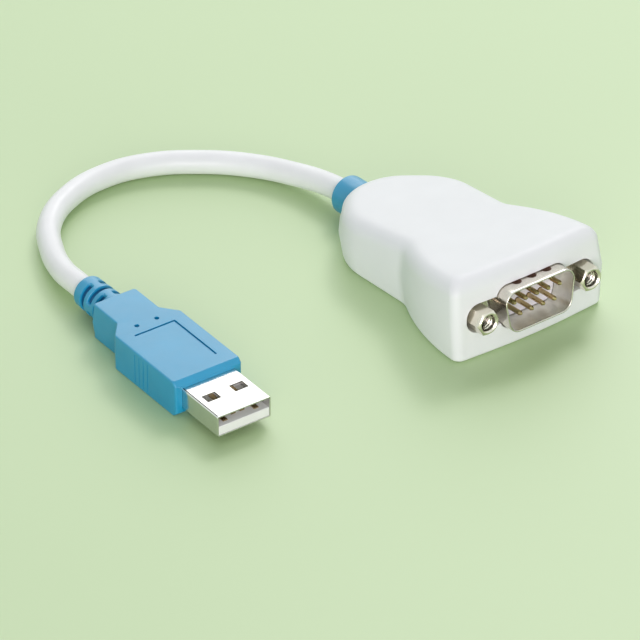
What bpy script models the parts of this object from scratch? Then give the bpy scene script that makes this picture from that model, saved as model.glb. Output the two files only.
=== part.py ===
"""USB to serial adapter cable.

A white moulded housing carries a nine pin serial connector with its hex
standoffs and holds the converter board. A short white cable leaves the back of
the housing through a blue collar and ends in a blue USB plug.

Metres, +Z up. The origin is on the surface that the adapter lies on, under the
middle of the housing with its connector and collar. The serial connector faces
-Y and the cable leaves at +Y.
"""

import math

import bmesh
import bpy
from mathutils import Matrix, Vector

# Clearances between pieces that touch on the real adapter
SEAT_GAP = 0.0003
FINE_GAP = 0.00015
CUT_MARGIN = 0.001

# Housing. It is a wedge that lies on its lower face, with the connector on the
# mid-plane. Distances along it start at the middle of its front face.
FRONT_HEIGHT = 0.0176
WEDGE_HALF_ANGLE = math.radians(4.4)
HOUSING_LENGTH = 0.0528
FLARE_AT = 0.0134
FACE_BOW = 0.0009
WAIST_HALF_WIDTH = 0.0136
WAIST_AT = 0.0237
REAR_HALF_WIDTH = 0.0146
REAR_SHOULDER_AT = 0.0418
REAR_FLAT_HALF_WIDTH = 0.0046
FACE_BOW_RADIUS = 0.15
CORNER_RADIUS = 0.001
FLARE_RADIUS = 0.042
WAIST_RADIUS = 0.002
SHOULDER_RADIUS = 0.013
TAIL_RADIUS = 0.009
WALL_LEAN = 0.0005
TOP_EDGE_RADIUS = 0.0034
LOWER_EDGE_RADIUS = 0.0010

# Serial connector, measured from its flange
FLANGE_SETBACK = 0.0039
FLANGE_BESIDE_SCREW = 0.0029
FLANGE_HEIGHT = 0.0125
FACE_BESIDE_FLANGE = 0.0030
FLANGE_THICKNESS = 0.0006
FLANGE_CORNER_RADIUS = 0.0020
SHROUD_LENGTH = 0.0059
SHROUD_INNER_WIDTH = 0.01692
SHROUD_INNER_HEIGHT = 0.00836
SHROUD_WALL = 0.0004
SHROUD_CORNER_RADIUS = 0.0022
SHROUD_SLANT = math.radians(10)
SHROUD_RIM_BEVEL = 0.00015
REAR_SHELL_LENGTH = 0.0045
REAR_PLATE_THICKNESS = 0.0005
SCREW_BESIDE_SHROUD = 0.00364
SCREW_HOLE_DIAMETER = 0.0034
STANDOFF_LENGTH = 0.0057
STANDOFF_ACROSS_FLATS = 0.00475
STANDOFF_STUD_DIAMETER = 0.0028
STANDOFF_STUD_LENGTH = 0.0040
STANDOFF_THREAD_DIAMETER = 0.00284
STANDOFF_THREAD_DEPTH = 0.0045
STANDOFF_COUNTERSINK = 0.0003
STANDOFF_FACE_DIAMETER = 0.0045
STANDOFF_CHAMFER = math.radians(30)
NUT_DIAMETER = 0.0050
NUT_THICKNESS = 0.0024
FACE_SLOT_HEIGHT = 0.0060
FACE_SHROUD_CLEARANCE = 0.0005

# Contacts of the serial connector
PIN_DIAMETER = 0.0010
PIN_PITCH = 0.00277
PIN_ROW_SPACING = 0.00284
PIN_TIP_BEHIND_RIM = 0.0008
PIN_TIP_TAPER = 0.0005
PIN_TIP_DIAMETER = 0.00055
PIN_TIP_DOME = 0.00008
UPPER_ROW_COUNT = 5
LOWER_ROW_COUNT = 4
CUP_DIAMETER = 0.0013
CUP_BORE_DIAMETER = 0.0008
CUP_LENGTH = 0.0034
CUP_BORE_DEPTH = 0.0024
INSULATOR_DEPTH = 0.0073

# Converter board and what is soldered to it
BOARD_WIDTH = 0.0200
BOARD_LENGTH = 0.0262
BOARD_THICKNESS = 0.0010
BOARD_CORNER_RADIUS = 0.0005
CHIP_LENGTH = 0.0102
CHIP_WIDTH = 0.0053
CHIP_HEIGHT = 0.0017
CHIP_LEG_COUNT = 8
CHIP_LEG_WIDTH = 0.0004
CHIP_LEG_REACH = 0.0012
CHIP_LEG_THICKNESS = 0.0005
UART_CHIP_AT = 0.0175
LEVEL_CHIP_AT = 0.0085
CRYSTAL_LENGTH = 0.0076
CRYSTAL_WIDTH = 0.0036
CRYSTAL_HEIGHT = 0.0024
CAPACITOR_COUNT = 4
CAPACITOR_LENGTH = 0.0020
CAPACITOR_WIDTH = 0.00125
CAPACITOR_HEIGHT = 0.0010
CAPACITOR_PITCH = 0.0036
WIRE_DIAMETER = 0.0009
WIRE_POINT_SPACING = 0.0015
WIRE_OFFSET_IN_CABLE = 0.00068
WIRE_OFFSET_BETWEEN = 0.00128
WIRE_PAD_PITCH = 0.0024
WIRE_PAD_SETBACK = 0.0045

# Rooms inside the housing
BOARD_ROOM_WIDTH = 0.0218
BOARD_ROOM_HEIGHT = 0.0078
BOARD_ROOM_END_GAP = 0.0008
WIRE_ROOM_DIAMETER = 0.0078

# Collar and cable
COLLAR_DIAMETER = 0.0080
COLLAR_PROTRUSION = 0.0035
COLLAR_SIDEWAYS = -0.0015
COLLAR_BODY_LENGTH = 0.0112
COLLAR_LIP_DIAMETER = 0.0090
COLLAR_LIP_THICKNESS = 0.0016
COLLAR_EDGE_RADIUS = 0.0006
CABLE_DIAMETER = 0.0048
CABLE_POINT_SPACING = 0.0065

# USB plug, measured from the mouth of its metal shell
PLUG_X = -0.06307
PLUG_Y = -0.0197
PLUG_YAW = math.radians(-1.95)
USB_SHELL_WIDTH = 0.0120
USB_SHELL_HEIGHT = 0.0045
USB_SHELL_WALL = 0.0003
USB_SHELL_CORNER_RADIUS = 0.0004
USB_SHELL_PROTRUSION = 0.0115
USB_SHELL_LENGTH = 0.0180
USB_WINDOW_WIDTH = 0.0025
USB_WINDOW_LENGTH = 0.0019
USB_WINDOW_SPACING = 0.0062
USB_WINDOW_AT = 0.0062
TONGUE_HEIGHT = 0.00195
TONGUE_SETBACK = 0.0001
TONGUE_BLOCK_AT = 0.0095
TONGUE_LENGTH = 0.0165
CONTACT_WIDTH = 0.0010
CONTACT_THICKNESS = 0.0003
CONTACT_OUTER_X = 0.0035
CONTACT_INNER_X = 0.0010
CONTACT_OUTER_AT = 0.0011
CONTACT_INNER_AT = 0.0021
CONTACT_END = 0.0176
PLUG_WIDTH = 0.0150
PLUG_HEIGHT = 0.0076
PLUG_GRIP_LENGTH = 0.0202
PLUG_SHOULDER_LENGTH = 0.0033
PLUG_NECK_WIDTH = 0.0096
PLUG_NECK_LENGTH = 0.0081
PLUG_OUTLINE_RADIUS = 0.0004
PLUG_NECK_RADIUS = 0.0012
PLUG_EDGE_RADIUS = 0.0003
PLUG_FRONT_CHAMFER = 0.0009
RELIEF_DIAMETER = 0.0071
RELIEF_END_DIAMETER = 0.0067
RELIEF_LENGTH = 0.0094
RELIEF_EDGE_RADIUS = 0.0006
RELIEF_SLOT_WIDTH = 0.0012
RELIEF_SLOT_DEPTH = 0.00065
RELIEF_SLOT_PITCH = 0.0042
RELIEF_FIRST_SLOT_AT = 0.0014
RELIEF_SLOT_COUNT = 2
RELIEF_WEB_WIDTH = 0.0020
RELIEF_WEBS_PER_SLOT = 4
GRIP_LINE_COUNT = 4
GRIP_LINE_PITCH = 0.0014
GRIP_LINE_WIDTH = 0.0003
GRIP_LINE_DEPTH = 0.0002
GRIP_LINE_HEIGHT = 0.0061
GRIP_LINE_AT = 0.0208
FRAME_LINE_WIDTH = 0.0004
FRAME_LINE_DEPTH = 0.00025
FRAME_LINE_HALF_WIDTH = 0.0045
FRAME_LINE_FRONT = 0.0158
FRAME_LINE_REAR = 0.0294
DIMPLE_DIAMETER = 0.0008
DIMPLE_DEPTH = 0.0003
DIMPLE_SPACING = 0.0045
DIMPLE_AT = 0.0320
PLUG_CABLE_END_AT = 0.0285
PLUG_WIRE_ROOM_WIDTH = 0.0072
PLUG_WIRE_ROOM_HEIGHT = 0.0043
PLUG_WIRE_PITCH_SHARE = 0.72
PLUG_WIRE_STRAIGHT = 0.0020
PLUG_WIRE_GATHER = 0.0030

# Faces round the turned pieces, points on the arcs of an outline, and the share
# of its width that rounds the end of a slot
ROUND_STEPS = 24
PIN_STEPS = 12
ARC_STEPS = 5
EDGE_STEPS = 4
SLOT_END_SHARE = 0.4998

# The screws stand beside the shroud, the flange reaches past them, and the
# front of the housing reaches past the flange
SCREW_SPACING = SHROUD_INNER_WIDTH + 2 * (SHROUD_WALL + SCREW_BESIDE_SHROUD)
FLANGE_WIDTH = SCREW_SPACING + 2 * FLANGE_BESIDE_SCREW
FLARE_HALF_WIDTH = FLANGE_WIDTH / 2 + FACE_BESIDE_FLANGE

# Where the housing's own axes stand. The axis of the connector tips down
# towards the back, so that the lower face of the wedge is level.
COLLAR_END_AT = HOUSING_LENGTH + COLLAR_PROTRUSION
RIM_AT = FLANGE_SETBACK - SHROUD_LENGTH
AXIS_HEIGHT = FRONT_HEIGHT / 2 * math.cos(WEDGE_HALF_ANGLE)
FRONT_REACH = (RIM_AT * math.cos(WEDGE_HALF_ANGLE)
               - (SHROUD_INNER_HEIGHT / 2 + SHROUD_WALL) * math.sin(WEDGE_HALF_ANGLE))
REAR_REACH = (COLLAR_END_AT * math.cos(WEDGE_HALF_ANGLE)
              + COLLAR_DIAMETER / 2 * math.sin(WEDGE_HALF_ANGLE))
AXIS_FRONT = -(FRONT_REACH + REAR_REACH) / 2

# The cable from its end in the housing to its end in the plug
CABLE_ROUTE = [
    (-0.0015, 0.0158, 0.00549),
    (-0.0015, 0.0222, 0.00500),
    (-0.0015, 0.0291, 0.00446),
    (-0.0018, 0.0345, 0.00395),
    (-0.0038, 0.0429, 0.00295),
    (-0.0083, 0.0513, 0.00250),
    (-0.0156, 0.0586, 0.00245),
    (-0.0244, 0.0639, 0.00245),
    (-0.0336, 0.0657, 0.00245),
    (-0.0433, 0.0638, 0.00245),
    (-0.0521, 0.0580, 0.00245),
    (-0.0573, 0.0500, 0.00255),
    (-0.0602, 0.0423, 0.00300),
    (-0.0612, 0.0357, 0.00370),
    (-0.0615, 0.0263, 0.00380),
    (-0.0618, 0.0173, 0.00380),
    (-0.0621, 0.0088, 0.00380),
]


def clear_scene():
    for item in list(bpy.data.objects):
        bpy.data.objects.remove(item, do_unlink=True)
    for group in list(bpy.data.collections):
        bpy.data.collections.remove(group)


def new_collection(name):
    collection = bpy.data.collections.new(name)
    bpy.context.scene.collection.children.link(collection)
    return collection


def material(name, colour, roughness, metallic=0.0):
    """A Principled material with one colour."""
    made = bpy.data.materials.new(name)
    made.use_nodes = True
    shader = made.node_tree.nodes["Principled BSDF"]
    shader.inputs["Base Color"].default_value = (*colour, 1.0)
    shader.inputs["Roughness"].default_value = roughness
    shader.inputs["Metallic"].default_value = metallic
    made.diffuse_color = (*colour, 1.0)
    return made


def add_object(name, mesh, collection, parent=None, at=(0, 0, 0), turn=(0, 0, 0)):
    made = bpy.data.objects.new(name, mesh)
    collection.objects.link(made)
    made.location = at
    made.rotation_euler = turn
    made.parent = parent
    if collection is CUTTERS:
        made.display_type = "WIRE"
        made.hide_render = True
    return made


def finish(made, look):
    """Give a part its material and smooth its rounded faces."""
    made.data.materials.clear()
    made.data.materials.append(look)
    if made.type == "MESH":
        made.data.shade_smooth()
        made.data.set_sharp_from_angle(angle=math.radians(30))
    return made


def fillet_reach(corners):
    """How far each fillet runs along its edges, kept within those edges."""
    places = [Vector(corner[:2]) for corner in corners]
    count = len(corners)
    reach = []
    for i, (x, y, radius) in enumerate(corners):
        before = places[i - 1] - places[i]
        after = places[(i + 1) % count] - places[i]
        reach.append(radius / math.tan(before.angle(after) / 2))
    room = [1.0] * count
    for i in range(count):
        after = (i + 1) % count
        edge = (places[after] - places[i]).length
        share = min(1.0, 0.999 * edge / max(reach[i] + reach[after], 1e-9))
        room[i] = min(room[i], share)
        room[after] = min(room[after], share)
    return [length * share for length, share in zip(reach, room)]


def rounded_outline(corners, steps=ARC_STEPS):
    """Points round a closed outline, from corners (x, y, fillet radius)."""
    points = []
    count = len(corners)
    for i, reach in enumerate(fillet_reach(corners)):
        corner = Vector(corners[i][:2])
        before = (Vector(corners[i - 1][:2]) - corner).normalized()
        after = (Vector(corners[(i + 1) % count][:2]) - corner).normalized()
        half = before.angle(after) / 2
        if reach == 0:
            points.append(corner)
            continue
        centre = corner + (before + after).normalized() * reach / math.cos(half)
        start = corner + before * reach - centre
        end = corner + after * reach - centre
        sweep = -start.angle_signed(end)
        for step in range(steps + 1):
            turn = Matrix.Rotation(sweep * step / steps, 2)
            points.append(centre + turn @ start)
    return points


def rectangle(width, height, radius=0.0):
    x = width / 2
    y = height / 2
    corners = [(-x, -y, radius), (x, -y, radius), (x, y, radius), (-x, y, radius)]
    return rounded_outline(corners)


def circle(diameter, steps=ROUND_STEPS):
    turns = [2 * math.pi * i / steps for i in range(steps)]
    return [Vector((math.cos(t), math.sin(t))) * diameter / 2 for t in turns]


def shroud_outline(grow):
    """The keyed D outline of the serial connector, wide side up."""
    top = SHROUD_INNER_WIDTH / 2 + grow
    half_height = SHROUD_INNER_HEIGHT / 2 + grow
    bottom = top - 2 * half_height * math.tan(SHROUD_SLANT)
    radius = SHROUD_CORNER_RADIUS + grow
    corners = [(-bottom, -half_height, radius), (bottom, -half_height, radius),
               (top, half_height, radius), (-top, half_height, radius)]
    return rounded_outline(corners)


def slab_mesh(name, outline, thickness):
    """The mesh of a flat solid with this outline, centred on z = 0."""
    curve = bpy.data.curves.new(name + "_outline", "CURVE")
    curve.dimensions = "2D"
    curve.fill_mode = "BOTH"
    curve.extrude = thickness / 2
    spline = curve.splines.new("POLY")
    spline.points.add(len(outline) - 1)
    for point, place in zip(spline.points, outline):
        point.co = (place[0], place[1], 0.0, 1.0)
    spline.use_cyclic_u = True
    drawn = bpy.data.objects.new(name + "_outline", curve)
    CUTTERS.objects.link(drawn)
    graph = bpy.context.evaluated_depsgraph_get()
    mesh = bpy.data.meshes.new_from_object(drawn.evaluated_get(graph))
    bpy.data.objects.remove(drawn)
    welded = bmesh.new()
    welded.from_mesh(mesh)
    bmesh.ops.remove_doubles(welded, verts=welded.verts, dist=0.000001)
    bmesh.ops.dissolve_limit(welded, angle_limit=math.radians(0.5),
                             verts=welded.verts, edges=welded.edges)
    bmesh.ops.recalc_face_normals(welded, faces=welded.faces)
    welded.to_mesh(mesh)
    welded.free()
    return mesh


def slab(name, outline, low, high, collection, parent, axis="Z", centre=(0, 0)):
    """A flat solid between two places along an axis of its parent."""
    mesh = slab_mesh(name, outline, high - low)
    middle = (low + high) / 2
    if axis == "Y":
        at = (centre[0], middle, centre[1])
        turn = (math.pi / 2, 0, 0)
    elif axis == "X":
        at = (middle, centre[0], centre[1])
        turn = (math.pi / 2, 0, math.pi / 2)
    else:
        at = (centre[0], centre[1], middle)
        turn = (0, 0, 0)
    return add_object(name, mesh, collection, parent, at, turn)


def box(name, size, at, collection, parent, turn=(0, 0, 0)):
    """A box primitive with its real size in its mesh."""
    mesh = bpy.data.meshes.new(name)
    shape = bmesh.new()
    bmesh.ops.create_cube(shape, size=1.0)
    bmesh.ops.scale(shape, vec=size, verts=shape.verts)
    shape.to_mesh(mesh)
    shape.free()
    return add_object(name, mesh, collection, parent, at, turn)


def rod(name, diameter, low, high, collection, parent, centre=(0, 0),
        end_diameter=None, steps=ROUND_STEPS):
    """A cylinder or cone along Y, from low to high."""
    if end_diameter is None:
        end_diameter = diameter
    mesh = bpy.data.meshes.new(name)
    shape = bmesh.new()
    bmesh.ops.create_cone(shape, cap_ends=True, segments=steps, depth=high - low,
                          radius1=end_diameter / 2, radius2=diameter / 2)
    shape.to_mesh(mesh)
    shape.free()
    at = (centre[0], (low + high) / 2, centre[1])
    return add_object(name, mesh, collection, parent, at, (math.pi / 2, 0, 0))


def turned(name, profile, collection, parent, at, steps):
    """A profile of (radius, distance along -Y) turned about the Y axis."""
    mesh = bpy.data.meshes.new(name)
    places = [(radius, 0.0, along) for radius, along in profile]
    edges = [(i, i + 1) for i in range(len(profile) - 1)]
    mesh.from_pydata(places, edges, [])
    made = add_object(name, mesh, collection, parent, at, (math.pi / 2, 0, 0))
    screw = made.modifiers.new("turn", "SCREW")
    screw.axis = "Z"
    screw.steps = steps
    screw.render_steps = steps
    screw.use_merge_vertices = True
    screw.merge_threshold = 0.000001
    return made


def combine(target, tool, operation):
    step = target.modifiers.new(operation.lower() + "_" + tool.name, "BOOLEAN")
    step.operation = operation
    step.solver = "EXACT"
    step.object = tool
    return step


def cut(target, tool):
    return combine(target, tool, "DIFFERENCE")


def join(target, tool):
    return combine(target, tool, "UNION")


def round_edges(target, width, segments, angle=40):
    bevel = target.modifiers.new("edges", "BEVEL")
    bevel.width = width
    bevel.segments = segments
    bevel.limit_method = "ANGLE"
    bevel.angle_limit = math.radians(angle)
    bevel.use_clamp_overlap = True
    return bevel


def smooth_route(points, spacing):
    """Points along one smooth curve through the route's own points."""
    places = [Vector(p) for p in points]
    places = [2 * places[0] - places[1]] + places + [2 * places[-1] - places[-2]]
    made = []
    for a, b, c, d in zip(places, places[1:], places[2:], places[3:]):
        pieces = max(1, round((c - b).length / spacing))
        for piece in range(pieces):
            t = piece / pieces
            made.append(0.5 * (2 * b + (c - a) * t + (2 * a - 5 * b + 4 * c - d) * t ** 2
                               + (3 * b - a - 3 * c + d) * t ** 3))
    made.append(places[-2])
    return made


def tube(name, points, diameter, collection, look, parent=None, resolution=2):
    """A round wire or cable along points."""
    curve = bpy.data.curves.new(name, "CURVE")
    curve.dimensions = "3D"
    curve.bevel_depth = diameter / 2
    curve.bevel_resolution = resolution
    curve.use_fill_caps = True
    spline = curve.splines.new("POLY")
    spline.points.add(len(points) - 1)
    for point, place in zip(spline.points, points):
        point.co = (*place, 1.0)
    made = add_object(name, curve, collection, parent)
    curve.materials.append(look)
    return made


def half_height_at(distance):
    """Half the height of the wedge this far behind its front face."""
    return FRONT_HEIGHT / 2 - distance * math.tan(WEDGE_HALF_ANGLE)


def ringed_mesh(name, places, ring_count):
    """A closed solid through rings of points, each ring above the last."""
    size = len(places) // ring_count
    faces = [list(range(size - 1, -1, -1))]
    for ring in range(ring_count - 1):
        for i in range(size):
            a = ring * size + i
            b = ring * size + (i + 1) % size
            faces.append([a, b, b + size, a + size])
    faces.append(list(range((ring_count - 1) * size, ring_count * size)))
    mesh = bpy.data.meshes.new(name)
    mesh.from_pydata(places, [], faces)
    return mesh


def inset_corners(corners, inset):
    """The corners of an outline after its edges move inwards."""
    moved = []
    count = len(corners)
    for i, (x, y, radius) in enumerate(corners):
        corner = Vector((x, y))
        before = (corner - Vector(corners[i - 1][:2])).normalized()
        after = (Vector(corners[(i + 1) % count][:2]) - corner).normalized()
        inward = Vector((-before.y - after.y, before.x + after.x))
        place = corner + inward * inset / (1 + before.dot(after))
        moved.append((place.x, place.y, radius))
    return moved


def housing_outline(inset):
    """The plan of the housing: bowed face, flare, waist and rounded tail."""
    right = [(FLARE_HALF_WIDTH, FACE_BOW, CORNER_RADIUS),
             (FLARE_HALF_WIDTH, FLARE_AT, FLARE_RADIUS),
             (WAIST_HALF_WIDTH, WAIST_AT, WAIST_RADIUS),
             (REAR_HALF_WIDTH, REAR_SHOULDER_AT, SHOULDER_RADIUS),
             (REAR_FLAT_HALF_WIDTH, HOUSING_LENGTH, TAIL_RADIUS)]
    left = [(-x, y, radius) for x, y, radius in reversed(right)]
    corners = [(0.0, 0.0, FACE_BOW_RADIUS)] + right + left
    return rounded_outline(inset_corners(corners, inset))


def edge_rings(side, radius):
    """Rings (inset, side, drop) round an edge, from the wall to the flat face."""
    turns = [math.pi / 2 * step / EDGE_STEPS for step in range(EDGE_STEPS + 1)]
    return [(WALL_LEAN + radius * (1 - math.cos(turn)), side, radius * (1 - math.sin(turn)))
            for turn in turns]


def make_housing(frame):
    """Rings from the lower face to the top: the walls are widest half way up."""
    lower = edge_rings(-1, LOWER_EDGE_RADIUS)
    rings = list(reversed(lower)) + [(0.0, 0, 0.0)] + edge_rings(1, TOP_EDGE_RADIUS)
    places = []
    for inset, side, drop in rings:
        for point in housing_outline(inset):
            places.append((point.x, point.y, side * (half_height_at(point.y) - drop)))
    housing = add_object("housing", ringed_mesh("housing", places, len(rings)), PARTS, frame)
    cut_face_opening(housing, frame)
    cut_rooms(housing, frame)
    return finish(housing, WHITE_PLASTIC)


def cut_face_opening(housing, frame):
    """The opening round the shroud and the slot round both standoffs."""
    reach = FLANGE_SETBACK + CUT_MARGIN
    grow = SHROUD_WALL + FACE_SHROUD_CLEARANCE
    window = slab("face_window", shroud_outline(grow), -CUT_MARGIN, reach,
                  CUTTERS, frame, "Y")
    slot_width = SCREW_SPACING + FACE_SLOT_HEIGHT
    slot = slab("face_slot", rectangle(slot_width, FACE_SLOT_HEIGHT,
                                   FACE_SLOT_HEIGHT * SLOT_END_SHARE),
                -CUT_MARGIN, reach, CUTTERS, frame, "Y")
    cut(housing, window)
    cut(housing, slot)


def cut_rooms(housing, frame):
    """The rooms inside: flange, rear shell and board, wires, collar."""
    flange_front = FLANGE_SETBACK - SEAT_GAP
    nut_back = rear_plate_back() + FINE_GAP + NUT_THICKNESS
    stud_back = FLANGE_SETBACK - FINE_GAP + STANDOFF_STUD_LENGTH
    pocket_end = max(nut_back, stud_back) + SEAT_GAP
    pocket = box("flange_pocket",
                 (FLANGE_WIDTH + 2 * SEAT_GAP, pocket_end - flange_front,
                  FLANGE_HEIGHT + 2 * SEAT_GAP),
                 (0, (flange_front + pocket_end) / 2, 0), CUTTERS, frame)
    shell_end = max(rear_plate_back() + REAR_SHELL_LENGTH, insulator_back()) + SEAT_GAP
    shell_room = slab("rear_shell_room", shroud_outline(SHROUD_WALL + SEAT_GAP),
                      pocket_end - CUT_MARGIN, shell_end, CUTTERS, frame, "Y")
    room_start = pocket_end - CUT_MARGIN / 2
    room_end = board_front() + BOARD_LENGTH + BOARD_ROOM_END_GAP
    board_room = box("board_room",
                     (BOARD_ROOM_WIDTH, room_end - room_start, BOARD_ROOM_HEIGHT),
                     (0, (room_start + room_end) / 2, 0), CUTTERS, frame)
    lip_front = collar_front() - SEAT_GAP
    wire_room = rod("wire_room", WIRE_ROOM_DIAMETER, room_end - CUT_MARGIN,
                    lip_front + CUT_MARGIN, CUTTERS, frame, (COLLAR_SIDEWAYS, 0))
    lip_back = collar_front() + COLLAR_LIP_THICKNESS + SEAT_GAP
    lip_room = rod("collar_lip_room", COLLAR_LIP_DIAMETER + 2 * SEAT_GAP, lip_front,
                   lip_back, CUTTERS, frame, (COLLAR_SIDEWAYS, 0))
    collar_hole = rod("collar_hole", COLLAR_DIAMETER + 2 * FINE_GAP,
                      lip_back - CUT_MARGIN, HOUSING_LENGTH + CUT_MARGIN, CUTTERS, frame,
                      (COLLAR_SIDEWAYS, 0))
    for room in (pocket, shell_room, board_room, wire_room, lip_room, collar_hole):
        cut(housing, room)


def rear_plate_back():
    """The back of the rear shell's plate, behind both plates of the flange."""
    return FLANGE_SETBACK + FLANGE_THICKNESS + FINE_GAP + REAR_PLATE_THICKNESS


def insulator_back():
    return FLANGE_SETBACK - SEAT_GAP + INSULATOR_DEPTH


def board_front():
    return insulator_back() + SEAT_GAP


def collar_front():
    return COLLAR_END_AT - COLLAR_BODY_LENGTH


def flanged_shell(name, plate_low, plate_high, tube_end, frame):
    """A stamped shell: a flange with its screw holes and a D-shaped tube."""
    plate = rectangle(FLANGE_WIDTH, FLANGE_HEIGHT, FLANGE_CORNER_RADIUS)
    shell = slab(name, plate, plate_low, plate_high, PARTS, frame, "Y")
    far_side = plate_high if tube_end < plate_low else plate_low
    low = min(far_side, tube_end)
    high = max(far_side, tube_end)
    skin = slab(name + "_skin", shroud_outline(SHROUD_WALL), low, high, CUTTERS, frame, "Y")
    round_edges(skin, SHROUD_RIM_BEVEL, 1, angle=60)
    hollow = slab(name + "_hollow", shroud_outline(0.0), low - CUT_MARGIN,
                  high + CUT_MARGIN, CUTTERS, frame, "Y")
    join(shell, skin)
    cut(shell, hollow)
    for side in (-1, 1):
        hole = rod(name + ("_hole_left" if side < 0 else "_hole_right"),
                   SCREW_HOLE_DIAMETER, plate_low - CUT_MARGIN, plate_high + CUT_MARGIN,
                   CUTTERS, frame, (side * SCREW_SPACING / 2, 0))
        cut(shell, hole)
    return finish(shell, NICKEL)


def pin_places():
    """The middles of the nine contacts, upper row first."""
    places = []
    for count, side in ((UPPER_ROW_COUNT, 1), (LOWER_ROW_COUNT, -1)):
        for i in range(count):
            x = (i - (count - 1) / 2) * PIN_PITCH
            places.append((x, side * PIN_ROW_SPACING / 2))
    return places


def make_insulator(frame):
    front = FLANGE_SETBACK - SEAT_GAP
    block = slab("serial_insulator", shroud_outline(-FINE_GAP), front, insulator_back(),
                 PARTS, frame, "Y")
    for number, place in enumerate(pin_places(), 1):
        hole = rod(f"pin_hole_{number}", PIN_DIAMETER + 2 * FINE_GAP, front - CUT_MARGIN,
                   insulator_back() + CUT_MARGIN, CUTTERS, frame, place, steps=PIN_STEPS)
        cut(block, hole)
    return finish(block, WHITE_NYLON)


def make_pins(frame):
    """Nine contacts with a rounded tip in front and a solder cup behind."""
    tip = RIM_AT + PIN_TIP_BEHIND_RIM
    cup_start = insulator_back() + FINE_GAP
    cup_end = cup_start + CUP_LENGTH
    radius = PIN_DIAMETER / 2
    cup = CUP_DIAMETER / 2
    bore = CUP_BORE_DIAMETER / 2
    profile = [(0.0, -tip), (PIN_TIP_DIAMETER / 2, -tip - PIN_TIP_DOME),
               (radius, -tip - PIN_TIP_TAPER), (radius, -cup_start), (cup, -cup_start),
               (cup, -cup_end), (bore, -cup_end), (bore, -cup_end + CUP_BORE_DEPTH),
               (0.0, -cup_end + CUP_BORE_DEPTH)]
    for number, (x, z) in enumerate(pin_places(), 1):
        pin = turned(f"pin_{number}", profile, PARTS, frame, (x, 0, z), PIN_STEPS)
        finish(pin, GOLD)


def make_standoffs(frame):
    """Hex standoffs in front of the flange and the nuts behind it."""
    foot = FLANGE_SETBACK - FINE_GAP
    face = foot - STANDOFF_LENGTH
    nut_front = rear_plate_back() + FINE_GAP
    across_corners = STANDOFF_ACROSS_FLATS / math.cos(math.radians(30))
    for label, side in (("left", -1), ("right", 1)):
        centre = (side * SCREW_SPACING / 2, 0)
        hexagon = circle(across_corners, 6)
        standoff = slab(f"standoff_{label}", hexagon, face, foot, PARTS, frame, "Y", centre)
        stud = rod(f"stud_{label}", STANDOFF_STUD_DIAMETER, foot - CUT_MARGIN / 2,
                   foot + STANDOFF_STUD_LENGTH, CUTTERS, frame, centre)
        bore = rod(f"thread_{label}", STANDOFF_THREAD_DIAMETER, face - CUT_MARGIN,
                   face + STANDOFF_THREAD_DEPTH, CUTTERS, frame, centre)
        mouth = rod(f"mouth_{label}", STANDOFF_THREAD_DIAMETER + 4 * STANDOFF_COUNTERSINK,
                    face - STANDOFF_COUNTERSINK, face + STANDOFF_COUNTERSINK, CUTTERS,
                    frame, centre, end_diameter=STANDOFF_THREAD_DIAMETER)
        combine(standoff, standoff_round(label, face, foot, frame, centre), "INTERSECT")
        join(standoff, stud)
        cut(standoff, bore)
        cut(standoff, mouth)
        finish(standoff, BRIGHT_NICKEL)
        nut = rod(f"nut_{label}", NUT_DIAMETER, nut_front, nut_front + NUT_THICKNESS,
                  PARTS, frame, centre)
        nut_bore = rod(f"nut_bore_{label}", STANDOFF_STUD_DIAMETER + 2 * FINE_GAP,
                       nut_front - CUT_MARGIN, nut_front + NUT_THICKNESS + CUT_MARGIN,
                       CUTTERS, frame, centre)
        cut(nut, nut_bore)
        finish(nut, BRIGHT_NICKEL)


def standoff_round(label, face, foot, frame, centre):
    """The cone that takes the hexagon's corners off at the front."""
    radius = STANDOFF_FACE_DIAMETER / 2
    wide = STANDOFF_ACROSS_FLATS
    tip = face - CUT_MARGIN
    shoulder = face + (wide - radius) * math.tan(STANDOFF_CHAMFER)
    back = max(foot, shoulder) + CUT_MARGIN
    profile = [(0.0, -tip), (radius - CUT_MARGIN / math.tan(STANDOFF_CHAMFER), -tip),
               (wide, -shoulder), (wide, -back), (0.0, -back)]
    return turned(f"standoff_round_{label}", profile, CUTTERS, frame,
                  (centre[0], 0, centre[1]), ROUND_STEPS)


def make_board(frame):
    outline = rectangle(BOARD_WIDTH, BOARD_LENGTH, BOARD_CORNER_RADIUS)
    board = slab("circuit_board", outline, -BOARD_THICKNESS / 2, BOARD_THICKNESS / 2,
                 PARTS, frame, "Z", (0, board_front() + BOARD_LENGTH / 2))
    return finish(board, GREEN_BOARD)


def make_chip(name, along, frame):
    """A flat chip with legs on its two long sides."""
    bottom = BOARD_THICKNESS / 2 + FINE_GAP
    middle = board_front() + along
    body = box(name, (CHIP_LENGTH, CHIP_WIDTH, CHIP_HEIGHT),
               (0, middle, bottom + CHIP_HEIGHT / 2), PARTS, frame)
    leg = (CHIP_LEG_WIDTH, CHIP_WIDTH + 2 * CHIP_LEG_REACH, CHIP_LEG_THICKNESS)
    pitch = CHIP_LENGTH / CHIP_LEG_COUNT
    for i in range(CHIP_LEG_COUNT):
        x = (i - (CHIP_LEG_COUNT - 1) / 2) * pitch
        pair = box(f"{name}_legs_{i + 1}", leg,
                   (x, middle, bottom + CHIP_LEG_THICKNESS / 2), CUTTERS, frame)
        join(body, pair)
    return finish(body, BLACK_EPOXY)


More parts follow.
